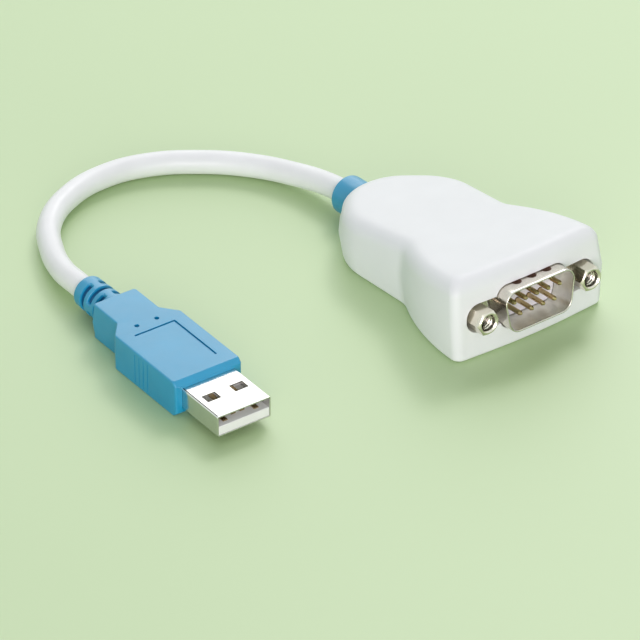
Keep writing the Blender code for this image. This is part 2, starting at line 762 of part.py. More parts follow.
def make_board_parts(frame):
    top = BOARD_THICKNESS / 2 + FINE_GAP
    make_chip("level_shifter_chip", LEVEL_CHIP_AT, frame)
    make_chip("usb_bridge_chip", UART_CHIP_AT, frame)
    can = slab("crystal", rectangle(CRYSTAL_LENGTH, CRYSTAL_WIDTH, CRYSTAL_WIDTH * SLOT_END_SHARE),
               -top - CRYSTAL_HEIGHT, -top, PARTS, frame, "Z",
               (0, board_front() + UART_CHIP_AT))
    finish(can, NICKEL)
    for i in range(CAPACITOR_COUNT):
        x = (i - (CAPACITOR_COUNT - 1) / 2) * CAPACITOR_PITCH
        capacitor = box(f"capacitor_{i + 1}",
                        (CAPACITOR_WIDTH, CAPACITOR_LENGTH, CAPACITOR_HEIGHT),
                        (x, board_front() + LEVEL_CHIP_AT, -top - CAPACITOR_HEIGHT / 2),
                        PARTS, frame)
        finish(capacitor, CERAMIC)


def make_board_wires(frame):
    """Four wires from the end of the cable to their pads on the board."""
    board_end = board_front() + BOARD_LENGTH
    cable_end = cable_end_in_housing()
    half_way = (board_end + cable_end) / 2
    pad_z = BOARD_THICKNESS / 2 + FINE_GAP + WIRE_DIAMETER / 2
    for i, (name, look) in enumerate(WIRE_LOOKS):
        pad_x = (i - (len(WIRE_LOOKS) - 1) / 2) * WIRE_PAD_PITCH
        x, z = wire_place(i)
        wide_x = math.copysign(WIRE_OFFSET_BETWEEN, x)
        route = [(pad_x, board_end - WIRE_PAD_SETBACK, pad_z),
                 (pad_x, board_end - WIRE_PAD_SETBACK / 2, pad_z),
                 (pad_x / 2, board_end + SEAT_GAP, pad_z),
                 (wide_x, half_way, z),
                 (x, cable_end - SEAT_GAP, z)]
        wire = tube("board_" + name, smooth_route(route, WIRE_POINT_SPACING), WIRE_DIAMETER,
                    PARTS, look, frame, resolution=1)
        wire.location.x = COLLAR_SIDEWAYS


def wire_place(number):
    """Where a wire leaves the cable's end, from the middle of the cable."""
    spread = WIRE_OFFSET_IN_CABLE
    return (-1, -1, 1, 1)[number] * spread, (-1, 1, 1, -1)[number] * spread


def cable_end_in_housing():
    """How far behind the housing's face the cable starts."""
    start = Vector(CABLE_ROUTE[0])
    return (start.y - AXIS_FRONT) / math.cos(WEDGE_HALF_ANGLE)


def make_collar(frame):
    """The blue bush in the housing's tail, with a lip that holds it in."""
    bore = CABLE_DIAMETER / 2 + SEAT_GAP
    outer = COLLAR_DIAMETER / 2
    lip = COLLAR_LIP_DIAMETER / 2
    edge = COLLAR_EDGE_RADIUS
    front = -collar_front()
    back = -COLLAR_END_AT
    rounding = [(outer - edge * (1 - math.cos(a)), back + edge * (1 - math.sin(a)))
                for a in (0, math.pi / 6, math.pi / 3, math.pi / 2)]
    profile = ([(bore, front), (lip, front), (lip, front - COLLAR_LIP_THICKNESS),
                (outer, front - COLLAR_LIP_THICKNESS)] + rounding
               + [(bore, back), (bore, front)])
    collar = turned("cable_collar", profile, PARTS, frame, (COLLAR_SIDEWAYS, 0, 0), ROUND_STEPS)
    return finish(collar, BLUE_PLASTIC)


def make_usb_shell(plug):
    """The folded metal shell with two windows in its top and two below."""
    outer = rectangle(USB_SHELL_WIDTH, USB_SHELL_HEIGHT, USB_SHELL_CORNER_RADIUS)
    inner = rectangle(USB_SHELL_WIDTH - 2 * USB_SHELL_WALL,
                      USB_SHELL_HEIGHT - 2 * USB_SHELL_WALL,
                      USB_SHELL_CORNER_RADIUS - USB_SHELL_WALL)
    shell = slab("usb_shell", outer, 0.0, USB_SHELL_LENGTH, PARTS, plug, "Y")
    hollow = slab("usb_shell_hollow", inner, -CUT_MARGIN, USB_SHELL_LENGTH + CUT_MARGIN,
                  CUTTERS, plug, "Y")
    cut(shell, hollow)
    for label, side in (("left", -1), ("right", 1)):
        window = box("usb_window_" + label,
                     (USB_WINDOW_WIDTH, USB_WINDOW_LENGTH, USB_SHELL_HEIGHT + CUT_MARGIN),
                     (side * USB_WINDOW_SPACING / 2, USB_WINDOW_AT, 0), CUTTERS, plug)
        cut(shell, window)
    return finish(shell, BRIGHT_NICKEL)


def contact_places():
    """Sideways place and front end of each USB contact, left to right."""
    outer = CONTACT_OUTER_X
    inner = CONTACT_INNER_X
    return [(-outer, CONTACT_OUTER_AT), (-inner, CONTACT_INNER_AT),
            (inner, CONTACT_INNER_AT), (outer, CONTACT_OUTER_AT)]


def contact_height():
    """Height of the contacts' middle: just under the tongue's upper face."""
    floor = -USB_SHELL_HEIGHT / 2 + USB_SHELL_WALL + FINE_GAP
    return floor + TONGUE_HEIGHT - CONTACT_THICKNESS / 2


def make_tongue(plug):
    """The white tongue, its block that fills the shell, and the contact slots."""
    width = USB_SHELL_WIDTH - 2 * USB_SHELL_WALL - 2 * FINE_GAP
    floor = -USB_SHELL_HEIGHT / 2 + USB_SHELL_WALL + FINE_GAP
    full = USB_SHELL_HEIGHT - 2 * USB_SHELL_WALL - 2 * FINE_GAP
    length = TONGUE_LENGTH - TONGUE_SETBACK
    tongue = box("usb_tongue", (width, length, TONGUE_HEIGHT),
                 (0, TONGUE_SETBACK + length / 2, floor + TONGUE_HEIGHT / 2), PARTS, plug)
    block_length = TONGUE_LENGTH - TONGUE_BLOCK_AT
    block = box("tongue_block", (width, block_length, full),
                (0, TONGUE_BLOCK_AT + block_length / 2, 0), CUTTERS, plug)
    join(tongue, block)
    slot_height = CONTACT_THICKNESS + 2 * FINE_GAP
    for i, (x, front) in enumerate(contact_places(), 1):
        start = front - FINE_GAP
        slot = box(f"contact_slot_{i}",
                   (CONTACT_WIDTH + 2 * FINE_GAP, TONGUE_LENGTH + CUT_MARGIN - start,
                    slot_height),
                   (x, (TONGUE_LENGTH + CUT_MARGIN + start) / 2, contact_height()),
                   CUTTERS, plug)
        cut(tongue, slot)
    return finish(tongue, WHITE_NYLON)


def make_contacts(plug):
    for i, (x, front) in enumerate(contact_places(), 1):
        contact = box(f"usb_contact_{i}",
                      (CONTACT_WIDTH, CONTACT_END - front, CONTACT_THICKNESS),
                      (x, (CONTACT_END + front) / 2, contact_height()), PARTS, plug)
        finish(contact, GOLD)


def make_plug_wires(plug):
    """Four wires from the contacts to the end of the cable inside the plug."""
    start = CONTACT_END + SEAT_GAP
    end = PLUG_CABLE_END_AT - SEAT_GAP
    for i, (name, look) in enumerate(WIRE_LOOKS):
        front_x = contact_places()[i][0] * PLUG_WIRE_PITCH_SHARE
        x, z = wire_place(i)
        route = [(front_x, start, 0.0), (front_x, start + PLUG_WIRE_STRAIGHT, 0.0),
                 (x, end - PLUG_WIRE_GATHER, z), (x, end, z)]
        tube("plug_" + name, smooth_route(route, WIRE_POINT_SPACING), WIRE_DIAMETER,
             PARTS, look, plug, resolution=1)


def plug_outline():
    """The plan of the overmould: wide grip, shoulder and neck."""
    front = USB_SHELL_PROTRUSION
    grip_end = front + PLUG_GRIP_LENGTH
    neck_start = grip_end + PLUG_SHOULDER_LENGTH
    right = [(PLUG_WIDTH / 2, front, PLUG_OUTLINE_RADIUS),
             (PLUG_WIDTH / 2, grip_end, PLUG_NECK_RADIUS),
             (PLUG_NECK_WIDTH / 2, neck_start, PLUG_NECK_RADIUS),
             (PLUG_NECK_WIDTH / 2, neck_end(), PLUG_NECK_RADIUS)]
    left = [(-x, y, r) for x, y, r in reversed(right)]
    return rounded_outline(right + left, 3)


def neck_end():
    return (USB_SHELL_PROTRUSION + PLUG_GRIP_LENGTH + PLUG_SHOULDER_LENGTH
            + PLUG_NECK_LENGTH)


def make_overmould(plug):
    """The blue grip with its neck and slotted strain relief, as one moulding."""
    half = PLUG_HEIGHT / 2
    front = USB_SHELL_PROTRUSION
    overmould = slab("plug_overmould", plug_outline(), -half, half, PARTS, plug)
    low_front = half - PLUG_FRONT_CHAMFER - CUT_MARGIN
    high = half + CUT_MARGIN
    high_front = front + PLUG_FRONT_CHAMFER + CUT_MARGIN
    rear = neck_end() + CUT_MARGIN
    side_view = [(front - CUT_MARGIN, -low_front), (high_front, -high), (rear, -high),
                 (rear, high), (high_front, high), (front - CUT_MARGIN, low_front)]
    profile = slab("plug_side_view", side_view, -PLUG_WIDTH, PLUG_WIDTH, CUTTERS, plug, "X")
    combine(overmould, profile, "INTERSECT")
    round_edges(overmould, PLUG_EDGE_RADIUS, 2)
    join(overmould, make_relief(plug))
    cut_plug_rooms(overmould, plug)
    cut_plug_marks(overmould, plug)
    return finish(overmould, BLUE_PLASTIC)


def make_relief(plug):
    """The strain relief: a tapered sleeve whose slots leave webs between rings."""
    start = neck_end() - CUT_MARGIN
    end = neck_end() + RELIEF_LENGTH
    relief = rod("relief", RELIEF_DIAMETER, start, end, CUTTERS, plug,
                 end_diameter=RELIEF_END_DIAMETER)
    round_edges(relief, RELIEF_EDGE_RADIUS, 2)
    for i in range(RELIEF_SLOT_COUNT):
        middle = neck_end() + RELIEF_FIRST_SLOT_AT + i * RELIEF_SLOT_PITCH
        ring = relief_slot(f"relief_slot_{i + 1}", middle, plug)
        for web in range(RELIEF_WEBS_PER_SLOT // 2):
            angle = math.pi * (web + 0.5 * i) * 2 / RELIEF_WEBS_PER_SLOT
            bar = box(f"relief_web_{i + 1}_{web + 1}",
                      (RELIEF_WEB_WIDTH, 2 * RELIEF_SLOT_WIDTH, 2 * RELIEF_DIAMETER),
                      (0, middle, 0), CUTTERS, plug, (0, angle, 0))
            cut(ring, bar)
        cut(relief, ring)
    return relief


def relief_slot(name, middle, plug):
    """A flat ring that cuts one slot all round the strain relief."""
    floor = RELIEF_DIAMETER / 2 - RELIEF_SLOT_DEPTH
    outside = RELIEF_DIAMETER / 2 + CUT_MARGIN
    half = RELIEF_SLOT_WIDTH / 2
    profile = [(floor, half), (outside, half), (outside, -half), (floor, -half), (floor, half)]
    return turned(name, profile, CUTTERS, plug, (0, middle, 0), ROUND_STEPS)


def cut_plug_rooms(overmould, plug):
    """The pocket for the metal shell, the wires' room and the cable's bore."""
    pocket_end = USB_SHELL_LENGTH + SEAT_GAP
    pocket = box("shell_pocket",
                 (USB_SHELL_WIDTH + 2 * FINE_GAP, pocket_end - USB_SHELL_PROTRUSION + CUT_MARGIN,
                  USB_SHELL_HEIGHT + 2 * FINE_GAP),
                 (0, (pocket_end + USB_SHELL_PROTRUSION - CUT_MARGIN) / 2, 0), CUTTERS, plug)
    wires = box("plug_wire_room",
                (PLUG_WIRE_ROOM_WIDTH, PLUG_CABLE_END_AT - pocket_end + CUT_MARGIN,
                 PLUG_WIRE_ROOM_HEIGHT),
                (0, (PLUG_CABLE_END_AT + pocket_end - CUT_MARGIN) / 2, 0), CUTTERS, plug)
    bore = rod("plug_cable_bore", CABLE_DIAMETER + 2 * SEAT_GAP, PLUG_CABLE_END_AT - CUT_MARGIN,
               neck_end() + RELIEF_LENGTH + CUT_MARGIN, CUTTERS, plug)
    for room in (pocket, wires, bore):
        cut(overmould, room)


def cut_plug_marks(overmould, plug):
    """Grip lines on both sides, and the frame line and dimples on the top."""
    top = PLUG_HEIGHT / 2
    for label, side in (("left", -1), ("right", 1)):
        for i in range(GRIP_LINE_COUNT):
            line = box(f"grip_line_{label}_{i + 1}",
                       (2 * GRIP_LINE_DEPTH, GRIP_LINE_WIDTH, GRIP_LINE_HEIGHT),
                       (side * PLUG_WIDTH / 2, GRIP_LINE_AT + i * GRIP_LINE_PITCH, 0),
                       CUTTERS, plug)
            cut(overmould, line)
    across = box("frame_line_across",
                 (2 * FRAME_LINE_HALF_WIDTH, FRAME_LINE_WIDTH, 2 * FRAME_LINE_DEPTH),
                 (0, FRAME_LINE_REAR, top), CUTTERS, plug)
    along = box("frame_line_along",
                (FRAME_LINE_WIDTH, FRAME_LINE_REAR - FRAME_LINE_FRONT, 2 * FRAME_LINE_DEPTH),
                (FRAME_LINE_HALF_WIDTH, (FRAME_LINE_REAR + FRAME_LINE_FRONT) / 2, top),
                CUTTERS, plug)
    cut(overmould, across)
    cut(overmould, along)
    for label, side in (("left", -1), ("right", 1)):
        dimple = box("dimple_" + label, (DIMPLE_DIAMETER, DIMPLE_DIAMETER, 2 * DIMPLE_DEPTH),
                     (side * DIMPLE_SPACING / 2, DIMPLE_AT, top), CUTTERS, plug)
        cut(overmould, dimple)


def make_cable():
    return tube("cable", smooth_route(CABLE_ROUTE, CABLE_POINT_SPACING), CABLE_DIAMETER,
                PARTS, WHITE_JACKET, resolution=4)


def main():
    frame = bpy.data.objects.new("housing_axes", None)
    frame.location = (0, AXIS_FRONT, AXIS_HEIGHT)
    frame.rotation_euler = (-WEDGE_HALF_ANGLE, 0, 0)
    PARTS.objects.link(frame)
    make_housing(frame)
    plate_front = FLANGE_SETBACK
    plate_back = FLANGE_SETBACK + FLANGE_THICKNESS
    flanged_shell("serial_shroud", plate_front, plate_back, RIM_AT, frame)
    flanged_shell("serial_rear_shell", rear_plate_back() - REAR_PLATE_THICKNESS,
                  rear_plate_back(), rear_plate_back() + REAR_SHELL_LENGTH, frame)
    make_insulator(frame)
    make_pins(frame)
    make_standoffs(frame)
    make_board(frame)
    make_board_parts(frame)
    make_board_wires(frame)
    make_collar(frame)
    make_cable()
    plug = bpy.data.objects.new("plug_axes", None)
    plug.location = (PLUG_X, PLUG_Y, PLUG_HEIGHT / 2)
    plug.rotation_euler = (0, 0, PLUG_YAW)
    PARTS.objects.link(plug)
    make_overmould(plug)
    make_usb_shell(plug)
    make_tongue(plug)
    make_contacts(plug)
    make_plug_wires(plug)
    bpy.context.view_layer.update()


clear_scene()
PARTS = new_collection("usb_to_serial_adapter_cable")
CUTTERS = new_collection("cutters")
WHITE_PLASTIC = material("white_plastic", (0.86, 0.87, 0.88), 0.35)
WHITE_JACKET = material("white_jacket", (0.84, 0.85, 0.85), 0.40)
WHITE_NYLON = material("white_nylon", (0.80, 0.79, 0.80), 0.50)
BLUE_PLASTIC = material("blue_plastic", (0.05, 0.33, 0.62), 0.35)
NICKEL = material("nickel_plate", (0.62, 0.60, 0.56), 0.25, 1.0)
BRIGHT_NICKEL = material("bright_nickel", (0.72, 0.71, 0.68), 0.18, 1.0)
GOLD = material("gold_plate", (0.78, 0.57, 0.25), 0.25, 1.0)
GREEN_BOARD = material("green_board", (0.03, 0.22, 0.10), 0.45)
BLACK_EPOXY = material("black_epoxy", (0.02, 0.02, 0.02), 0.50)
CERAMIC = material("ceramic", (0.50, 0.38, 0.24), 0.50)
WIRE_LOOKS = [("wire_red", material("red_insulation", (0.60, 0.03, 0.03), 0.40)),
              ("wire_white", material("white_insulation", (0.80, 0.80, 0.78), 0.40)),
              ("wire_green", material("green_insulation", (0.03, 0.35, 0.08), 0.40)),
              ("wire_black", material("black_insulation", (0.02, 0.02, 0.02), 0.40))]
main()
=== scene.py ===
"""Looks of the USB to serial adapter cable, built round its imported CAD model.

Metres, in the same frame as the model: the serial connector faces -Y, the cable
leaves the white housing at +Y and the blue plug lies at -X.
"""

import math

import bmesh
import bpy
from mathutils import Matrix, Vector


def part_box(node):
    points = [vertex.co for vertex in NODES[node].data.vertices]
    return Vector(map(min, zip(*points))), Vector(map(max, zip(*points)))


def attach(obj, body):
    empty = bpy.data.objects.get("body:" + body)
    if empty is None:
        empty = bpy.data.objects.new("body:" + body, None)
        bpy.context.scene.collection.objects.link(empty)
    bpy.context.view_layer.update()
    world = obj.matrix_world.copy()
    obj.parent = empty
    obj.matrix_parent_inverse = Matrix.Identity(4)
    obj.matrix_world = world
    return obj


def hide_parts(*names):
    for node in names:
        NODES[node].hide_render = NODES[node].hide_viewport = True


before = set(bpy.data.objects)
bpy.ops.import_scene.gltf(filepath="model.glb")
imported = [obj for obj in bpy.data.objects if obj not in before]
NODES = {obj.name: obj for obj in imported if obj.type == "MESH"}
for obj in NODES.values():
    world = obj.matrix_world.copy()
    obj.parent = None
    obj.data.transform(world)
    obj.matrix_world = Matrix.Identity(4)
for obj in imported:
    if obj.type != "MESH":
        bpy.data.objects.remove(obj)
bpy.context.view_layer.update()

# The photograph's camera
CAMERA_AT = (-0.6084, -0.75425, 0.6311)
CAMERA_YAW = math.radians(37.466)
CAMERA_PITCH = math.radians(33.516)
CAMERA_LENS = 337.5
CAMERA_SENSOR = 36.0
CAMERA_CLIP = (0.05, 20.0)

# Lamps, each pointed at the origin: place, size, power and colour
LAMPS = {
    "key": ((0.60, 0.78, 0.70), 1.2, 6.0, (1.0, 0.96, 0.98)),
    "shadow_lamp": ((0.85, 0.55, 0.95), 0.35, 3.3, (1.0, 0.96, 0.98)),
    "front_softbox": ((-0.5, -0.85, 0.70), 0.8, 1.0, (1.0, 0.94, 1.0)),
    "low_front_fill": ((-0.65, -0.90, 0.30), 0.6, 5.9, (1.0, 0.90, 1.0)),
}
WORLD_COLOUR = (0.92, 1.0, 0.98)
WORLD_STRENGTH = 0.45
WORLD_STRENGTH_SEEN = 1.0

# The floor. Noise is in features to a metre, here and in the finishes.
FLOOR_HALF_WIDTH = 3.0
FLOOR_TONES = ((0.456, 0.613, 0.303), (0.476, 0.633, 0.323))
FLOOR_ROUGHNESS = 0.50
FLOOR_IOR = 2.05
FLOOR_CLOUDS = 6
FLOOR_FIBRES = 2500
FLOOR_FIBRE_HEIGHT = 0.00001

# Finishes. Relief is in metres, and each change is what the roughness loses and gains.
NOISE_MIDDLE = (0.3, 0.7)
PLASTIC_CLOUDS = 120
PLASTIC_CLOUD_HEIGHT = 0.00001
PLASTIC_SHEEN = 700
PLASTIC_SHEEN_CHANGE = (-0.04, 0.05)
METAL_CLOUDS = 260
METAL_CLOUD_DISTORTION = 0.6
METAL_MARKS = 3500
METAL_MARK_HEIGHT = 0.000002
METAL_MARK_CHANGE = (-0.05, 0.09)
METAL_WAVES = 420
METAL_WAVE_HEIGHT = 0.00003

# The cable's route, from its end in the housing to its end in the plug
CABLE_DIAMETER = 0.0048
CABLE_ROUTE = [
    (-0.0015, 0.0158, 0.00549),
    (-0.0015, 0.0222, 0.00500),
    (-0.0015, 0.0291, 0.00446),
    (-0.0018, 0.0345, 0.00395),
    (-0.0038, 0.0429, 0.00295),
    (-0.0083, 0.0513, 0.00250),
    (-0.0156, 0.0586, 0.00245),
    (-0.0244, 0.0639, 0.00245),
    (-0.0336, 0.0657, 0.00245),
    (-0.0433, 0.0638, 0.00245),
    (-0.0521, 0.0580, 0.00245),
    (-0.0573, 0.0500, 0.00255),
    (-0.0602, 0.0423, 0.00300),
    (-0.0612, 0.0357, 0.00370),
    (-0.0615, 0.0263, 0.00380),
    (-0.0618, 0.0173, 0.00380),
    (-0.0621, 0.0088, 0.00380),
]
CABLE_SECTION_STEPS = 10
CABLE_STEPS = 10

# The housing. Distances along it start at the middle of its front face.
FRONT_HEIGHT = 0.0176
WEDGE_HALF_ANGLE = math.radians(4.4)
HOUSING_LENGTH = 0.0528
FLARE_HALF_WIDTH = 0.0184
FLARE_AT = 0.0134
FACE_BOW = 0.0012
WAIST_HALF_WIDTH = 0.0136
WAIST_AT = 0.0237
REAR_HALF_WIDTH = 0.0146
REAR_SHOULDER_AT = 0.0418
REAR_FLAT_HALF_WIDTH = 0.0046
FACE_BOW_RADIUS = 0.15
CORNER_RADIUS = 0.0018
FLARE_RADIUS = 0.042
WAIST_RADIUS = 0.0060
SHOULDER_RADIUS = 0.013
TAIL_RADIUS = 0.009
WALL_LEAN = 0.0005
TOP_EDGE_RADIUS = 0.0034
LOWER_EDGE_RADIUS = 0.0010
OPENING_EDGE_RADIUS = 0.00018
COLLAR_SIDEWAYS = -0.0015
TAIL_SIDEWAYS = -0.0005
COLLAR_HOLE_DIAMETER = 0.0082
COLLAR_HOLE_DEPTH = 0.0080
COLLAR_DIAMETER = 0.0080
COLLAR_PROTRUSION = 0.0035
COLLAR_LENGTH = 0.0110
COLLAR_EDGE_RADIUS = 0.0006

# The serial connector in the housing's face
FLANGE_SETBACK = 0.0039
FLANGE_WIDTH = 0.0308
FLANGE_HEIGHT = 0.0125
FLANGE_THICKNESS = 0.0006
FLANGE_CORNER_RADIUS = 0.0020
FLANGE_ROOM = 0.0003
SCREW_SPACING = 0.0250
SHROUD_LENGTH = 0.0059
SHROUD_INNER_WIDTH = 0.01692
SHROUD_INNER_HEIGHT = 0.00836
SHROUD_WALL = 0.0004
SHROUD_CORNER_RADIUS = 0.0022
SHROUD_SLANT = math.radians(10)
SHROUD_ROOT_RADIUS = 0.0006
FACE_SHROUD_CLEARANCE = 0.00018
FACE_SLOT_HEIGHT = 0.0060
FACE_SLOT_RADIUS = 0.4998 * FACE_SLOT_HEIGHT
GROUND_DIMPLE_PITCH = 0.0036
GROUND_DIMPLE_BEHIND_RIM = 0.0028
GROUND_DIMPLE_RADIUS = 0.0017
GROUND_DIMPLE_DEPTH = 0.00035
STANDOFF_LENGTH = 0.0057
STANDOFF_ACROSS_FLATS = 0.00455
STANDOFF_FACE_DIAMETER = 0.0042
STANDOFF_CHAMFER = math.radians(40)
STANDOFF_SEAT = 0.00015
THREAD_DIAMETER = 0.0032
THREAD_PITCH = 0.000635
THREAD_DEPTH = 0.00034
THREAD_LENGTH = 0.0042
THREAD_COUNTERSINK = 0.00028

# The USB plug, measured from the mouth of its metal shell
PLUG_AT = (-0.06307, -0.0197, 0.0038)
PLUG_YAW = math.radians(-1.95)
USB_SHELL_WIDTH = 0.0120
USB_SHELL_HEIGHT = 0.0045
USB_SHELL_WALL = 0.0003
USB_SHELL_CORNER_RADIUS = 0.0004
USB_SHELL_LENGTH = 0.0180
USB_SHELL_EDGE = 0.00008
USB_WINDOW_WIDTH = 0.0030
USB_WINDOW_LENGTH = 0.0023
USB_WINDOW_SPACING = 0.0062
USB_WINDOW_AT = 0.0062
USB_SEAM_WIDTH = 0.00016
USB_SEAM_DEPTH = 0.00022
TONGUE_TOP_AT = -0.00005
TONGUE_SETBACK = 0.00004
TONGUE_BLOCK_AT = 0.0095
TONGUE_LENGTH = 0.0165
TONGUE_CORNER_RADIUS = 0.0001
CONTACT_ROOM = (0.00106, 0.00038)
CONTACT_MIDDLE = -0.00010
CONTACTS = ((-0.0035, 0.0011), (-0.0010, 0.0021), (0.0010, 0.0021), (0.0035, 0.0011))
GRIP_AT = 0.0115
GRIP_LENGTH = 0.0202
PLUG_SHOULDER_LENGTH = 0.0033
PLUG_NECK_LENGTH = 0.0081
PLUG_WIDTH = 0.0150
PLUG_HEIGHT = 0.0076
PLUG_NECK_WIDTH = 0.0096
PLUG_CORNER_RADIUS = 0.0005
PLUG_NECK_RADIUS = 0.0012
PLUG_NECK_END_RADIUS = 0.0006
PLUG_NECK_SWELL = 0.00045
PLUG_SWELL_LEAD = 0.001
PLUG_EDGE_RADIUS = 0.0003
PLUG_FRONT_CHAMFER = 0.0009
PLUG_ROOM = (0.0072, 0.0103, 0.0043)
PLUG_CABLE_END_AT = 0.0285
GRIP_LINES = (0.0208, 0.0222, 0.0236, 0.0250)
GRIP_LINE_WIDTH = 0.00020
GRIP_LINE_DEPTH = 0.00007
GRIP_LINE_HEIGHT = 0.0061
FRAME_LINE_WIDTH = 0.00045
FRAME_LINE_DEPTH = 0.00040
FRAME_LINE_HALF_WIDTH = 0.0045
FRAME_LINE_FRONT = 0.0158
FRAME_LINE_REAR = 0.0294
PLUG_DIMPLE_RADIUS = 0.00050
PLUG_DIMPLE_DEPTH = 0.00060
PLUG_DIMPLE_SPACING = 0.0045
PLUG_DIMPLE_AT = 0.0320
RELIEF_DIAMETER = 0.0071
RELIEF_END_DIAMETER = 0.0066
RELIEF_LENGTH = 0.0094
RELIEF_EDGE_RADIUS = 0.0007
RELIEF_SLOTS = (0.0016, 0.0039, 0.0062)
RELIEF_SLOT_WIDTH = 0.0011
RELIEF_SLOT_DEPTH = 0.0009
RELIEF_SLOT_SOFTNESS = RELIEF_SLOT_WIDTH / 7
RELIEF_WEB_HALF_ANGLE = math.radians(17)
RELIEF_WEB_SOFTNESS = 0.06

# Room between fitted pieces, and how far a cutter stands out of what it cuts
FIT_ROOM = 0.00003
CUT_MARGIN = 0.001

# How finely curves are drawn, in steps to a fillet or an edge, and to a full turn
FILLET_STEPS = 12
PLUG_FILLET_STEPS = 8
SLOT_END_STEPS = 16
SLEEVE_ROOM_STEPS = 4
TONGUE_FILLET_STEPS = 3
HOUSING_EDGE_STEPS = 10
OPENING_EDGE_STEPS = 3
SHROUD_RIM_STEPS = 8
SHROUD_ROOT_STEPS = 6
USB_SHELL_EDGE_STEPS = 4
PLUG_EDGE_STEPS = 6
COLLAR_EDGE_STEPS = 8
CIRCLE_STEPS = 64
COLLAR_STEPS = 72
PLUG_DIMPLE_STEPS = 24
STANDOFF_STEPS = 60
THREAD_RINGS = 10
RELIEF_STEPS = 120
RELIEF_RINGS = 150
BALL_SUBDIVISIONS = 4

# Two fillets that meet take up at most this share of the edge between them, and a run
# shorter than the second number counts as none
FILLET_SHARE = 0.999
NO_RUN = 1e-9

# Shading is smooth up to these angles, in degrees
SMOOTH_UP_TO = {
    "housing_moulding": 32, "serial_shell": 35, "hex_standoff_left": 24,
    "hex_standoff_right": 24, "usb_sleeve": 30, "contact_block": 30, "plug_grip": 35,
    "plug_relief": 50, "collar_ring": 40,
}

# Tests that pick edges and faces. WALL_NORMAL and FACE_NORMAL are how much of a normal
# lies along the axis, at most on a wall and at least on a front face. DIMPLE_FIT is how
# far a face may lie from its dimple's ball, DIMPLE_FACING how squarely it faces the
# ball's middle, and SEAM_SLACK a share of the seam's width and depth.
WALL_NORMAL = 0.3
FACE_NORMAL = 0.9
DIMPLE_FIT = 0.00003
DIMPLE_FACING = 0.97
SEAM_SLACK = 0.01

# Places along the housing and the plug, and where their axes lie in the frame
FLANGE_BACK = FLANGE_SETBACK + FLANGE_THICKNESS
RIM_AT = FLANGE_SETBACK - SHROUD_LENGTH
GRIP_END = GRIP_AT + GRIP_LENGTH
NECK_START = GRIP_END + PLUG_SHOULDER_LENGTH
NECK_END = NECK_START + PLUG_NECK_LENGTH
SHROUD_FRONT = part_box("serial_shroud")[0][1]
AXIS_FRONT = (SHROUD_FRONT - RIM_AT * math.cos(WEDGE_HALF_ANGLE)
              + (SHROUD_INNER_HEIGHT / 2 + SHROUD_WALL) * math.sin(WEDGE_HALF_ANGLE))
AXIS_HEIGHT = FRONT_HEIGHT / 2 * math.cos(WEDGE_HALF_ANGLE)
HOUSING_AXES = (Matrix.Translation((0.0, AXIS_FRONT, AXIS_HEIGHT))
                @ Matrix.Rotation(-WEDGE_HALF_ANGLE, 4, "X"))
PLUG_AXES = Matrix.Translation(PLUG_AT) @ Matrix.Rotation(PLUG_YAW, 4, "Z")


# Materials

class Look:
    """A Principled material that is built up node by node."""

    def __init__(self, name, roughness, metallic=0.0):
        self.made = bpy.data.materials.new(name)
        self.made.use_nodes = True
        self.nodes = self.made.node_tree.nodes
        self.links = self.made.node_tree.links
        self.shader = self.nodes["Principled BSDF"]
        self.shader.inputs["Roughness"].default_value = roughness
        self.shader.inputs["Metallic"].default_value = metallic
        self.roughness = roughness
        self.place = self.nodes.new("ShaderNodeTexCoord").outputs["Object"]

    def noise(self, scale, detail, distortion=0.0):
        """Noise with this many features to a metre."""
        texture = self.nodes.new("ShaderNodeTexNoise")
        texture.inputs["Scale"].default_value = scale
        texture.inputs["Detail"].default_value = detail
        texture.inputs["Distortion"].default_value = distortion
        self.links.new(self.place, texture.inputs["Vector"])
        return texture.outputs["Fac"]

    def colour(self, value, low, high):
        """The base colour, from one tone to another over the middle of the noise."""
        ramp = self.nodes.new("ShaderNodeValToRGB")
        for stop, position, tone in zip(ramp.color_ramp.elements, NOISE_MIDDLE, (low, high)):
            stop.position = position
            stop.color = (*tone, 1.0)
        self.links.new(value, ramp.inputs["Fac"])
        self.links.new(ramp.outputs["Color"], self.shader.inputs["Base Color"])

    def rough(self, value, change):
        """Roughness with this change at either end of the middle of the noise."""
        spread = self.nodes.new("ShaderNodeMapRange")
        spread.inputs["From Min"].default_value = NOISE_MIDDLE[0]
        spread.inputs["From Max"].default_value = NOISE_MIDDLE[1]
        spread.inputs["To Min"].default_value = self.roughness + change[0]
        spread.inputs["To Max"].default_value = self.roughness + change[1]
        self.links.new(value, spread.inputs["Value"])
        self.links.new(spread.outputs["Result"], self.shader.inputs["Roughness"])

    def bump(self, value, height, after=None):
        """Relief of this height in metres, on top of an earlier one."""
        bump = self.nodes.new("ShaderNodeBump")
        bump.inputs["Distance"].default_value = height
        self.links.new(value, bump.inputs["Height"])
        if after:
            self.links.new(after, bump.inputs["Normal"])
        self.links.new(bump.outputs["Normal"], self.shader.inputs["Normal"])
        return bump.outputs["Normal"]


def shade(colour, factor):
    """The colour, this many times as bright."""
    return tuple(min(1.0, channel * factor) for channel in colour)


def plastic(name, colour, roughness, grain=0.000004, grain_scale=9000, tint=0.03, gloss=0.5):
    """Moulded plastic: a fine grained surface with faint unevenness."""
    look = Look(name, roughness)
    look.shader.inputs["Specular IOR Level"].default_value = gloss
    cloud = look.noise(PLASTIC_CLOUDS, detail=2.0)
    look.colour(cloud, shade(colour, 1 - tint), shade(colour, 1 + tint))
    look.rough(look.noise(PLASTIC_SHEEN, detail=3.0), PLASTIC_SHEEN_CHANGE)
    waves = look.bump(cloud, PLASTIC_CLOUD_HEIGHT)
    look.bump(look.noise(grain_scale, detail=2.0), grain, waves)
    return look.made


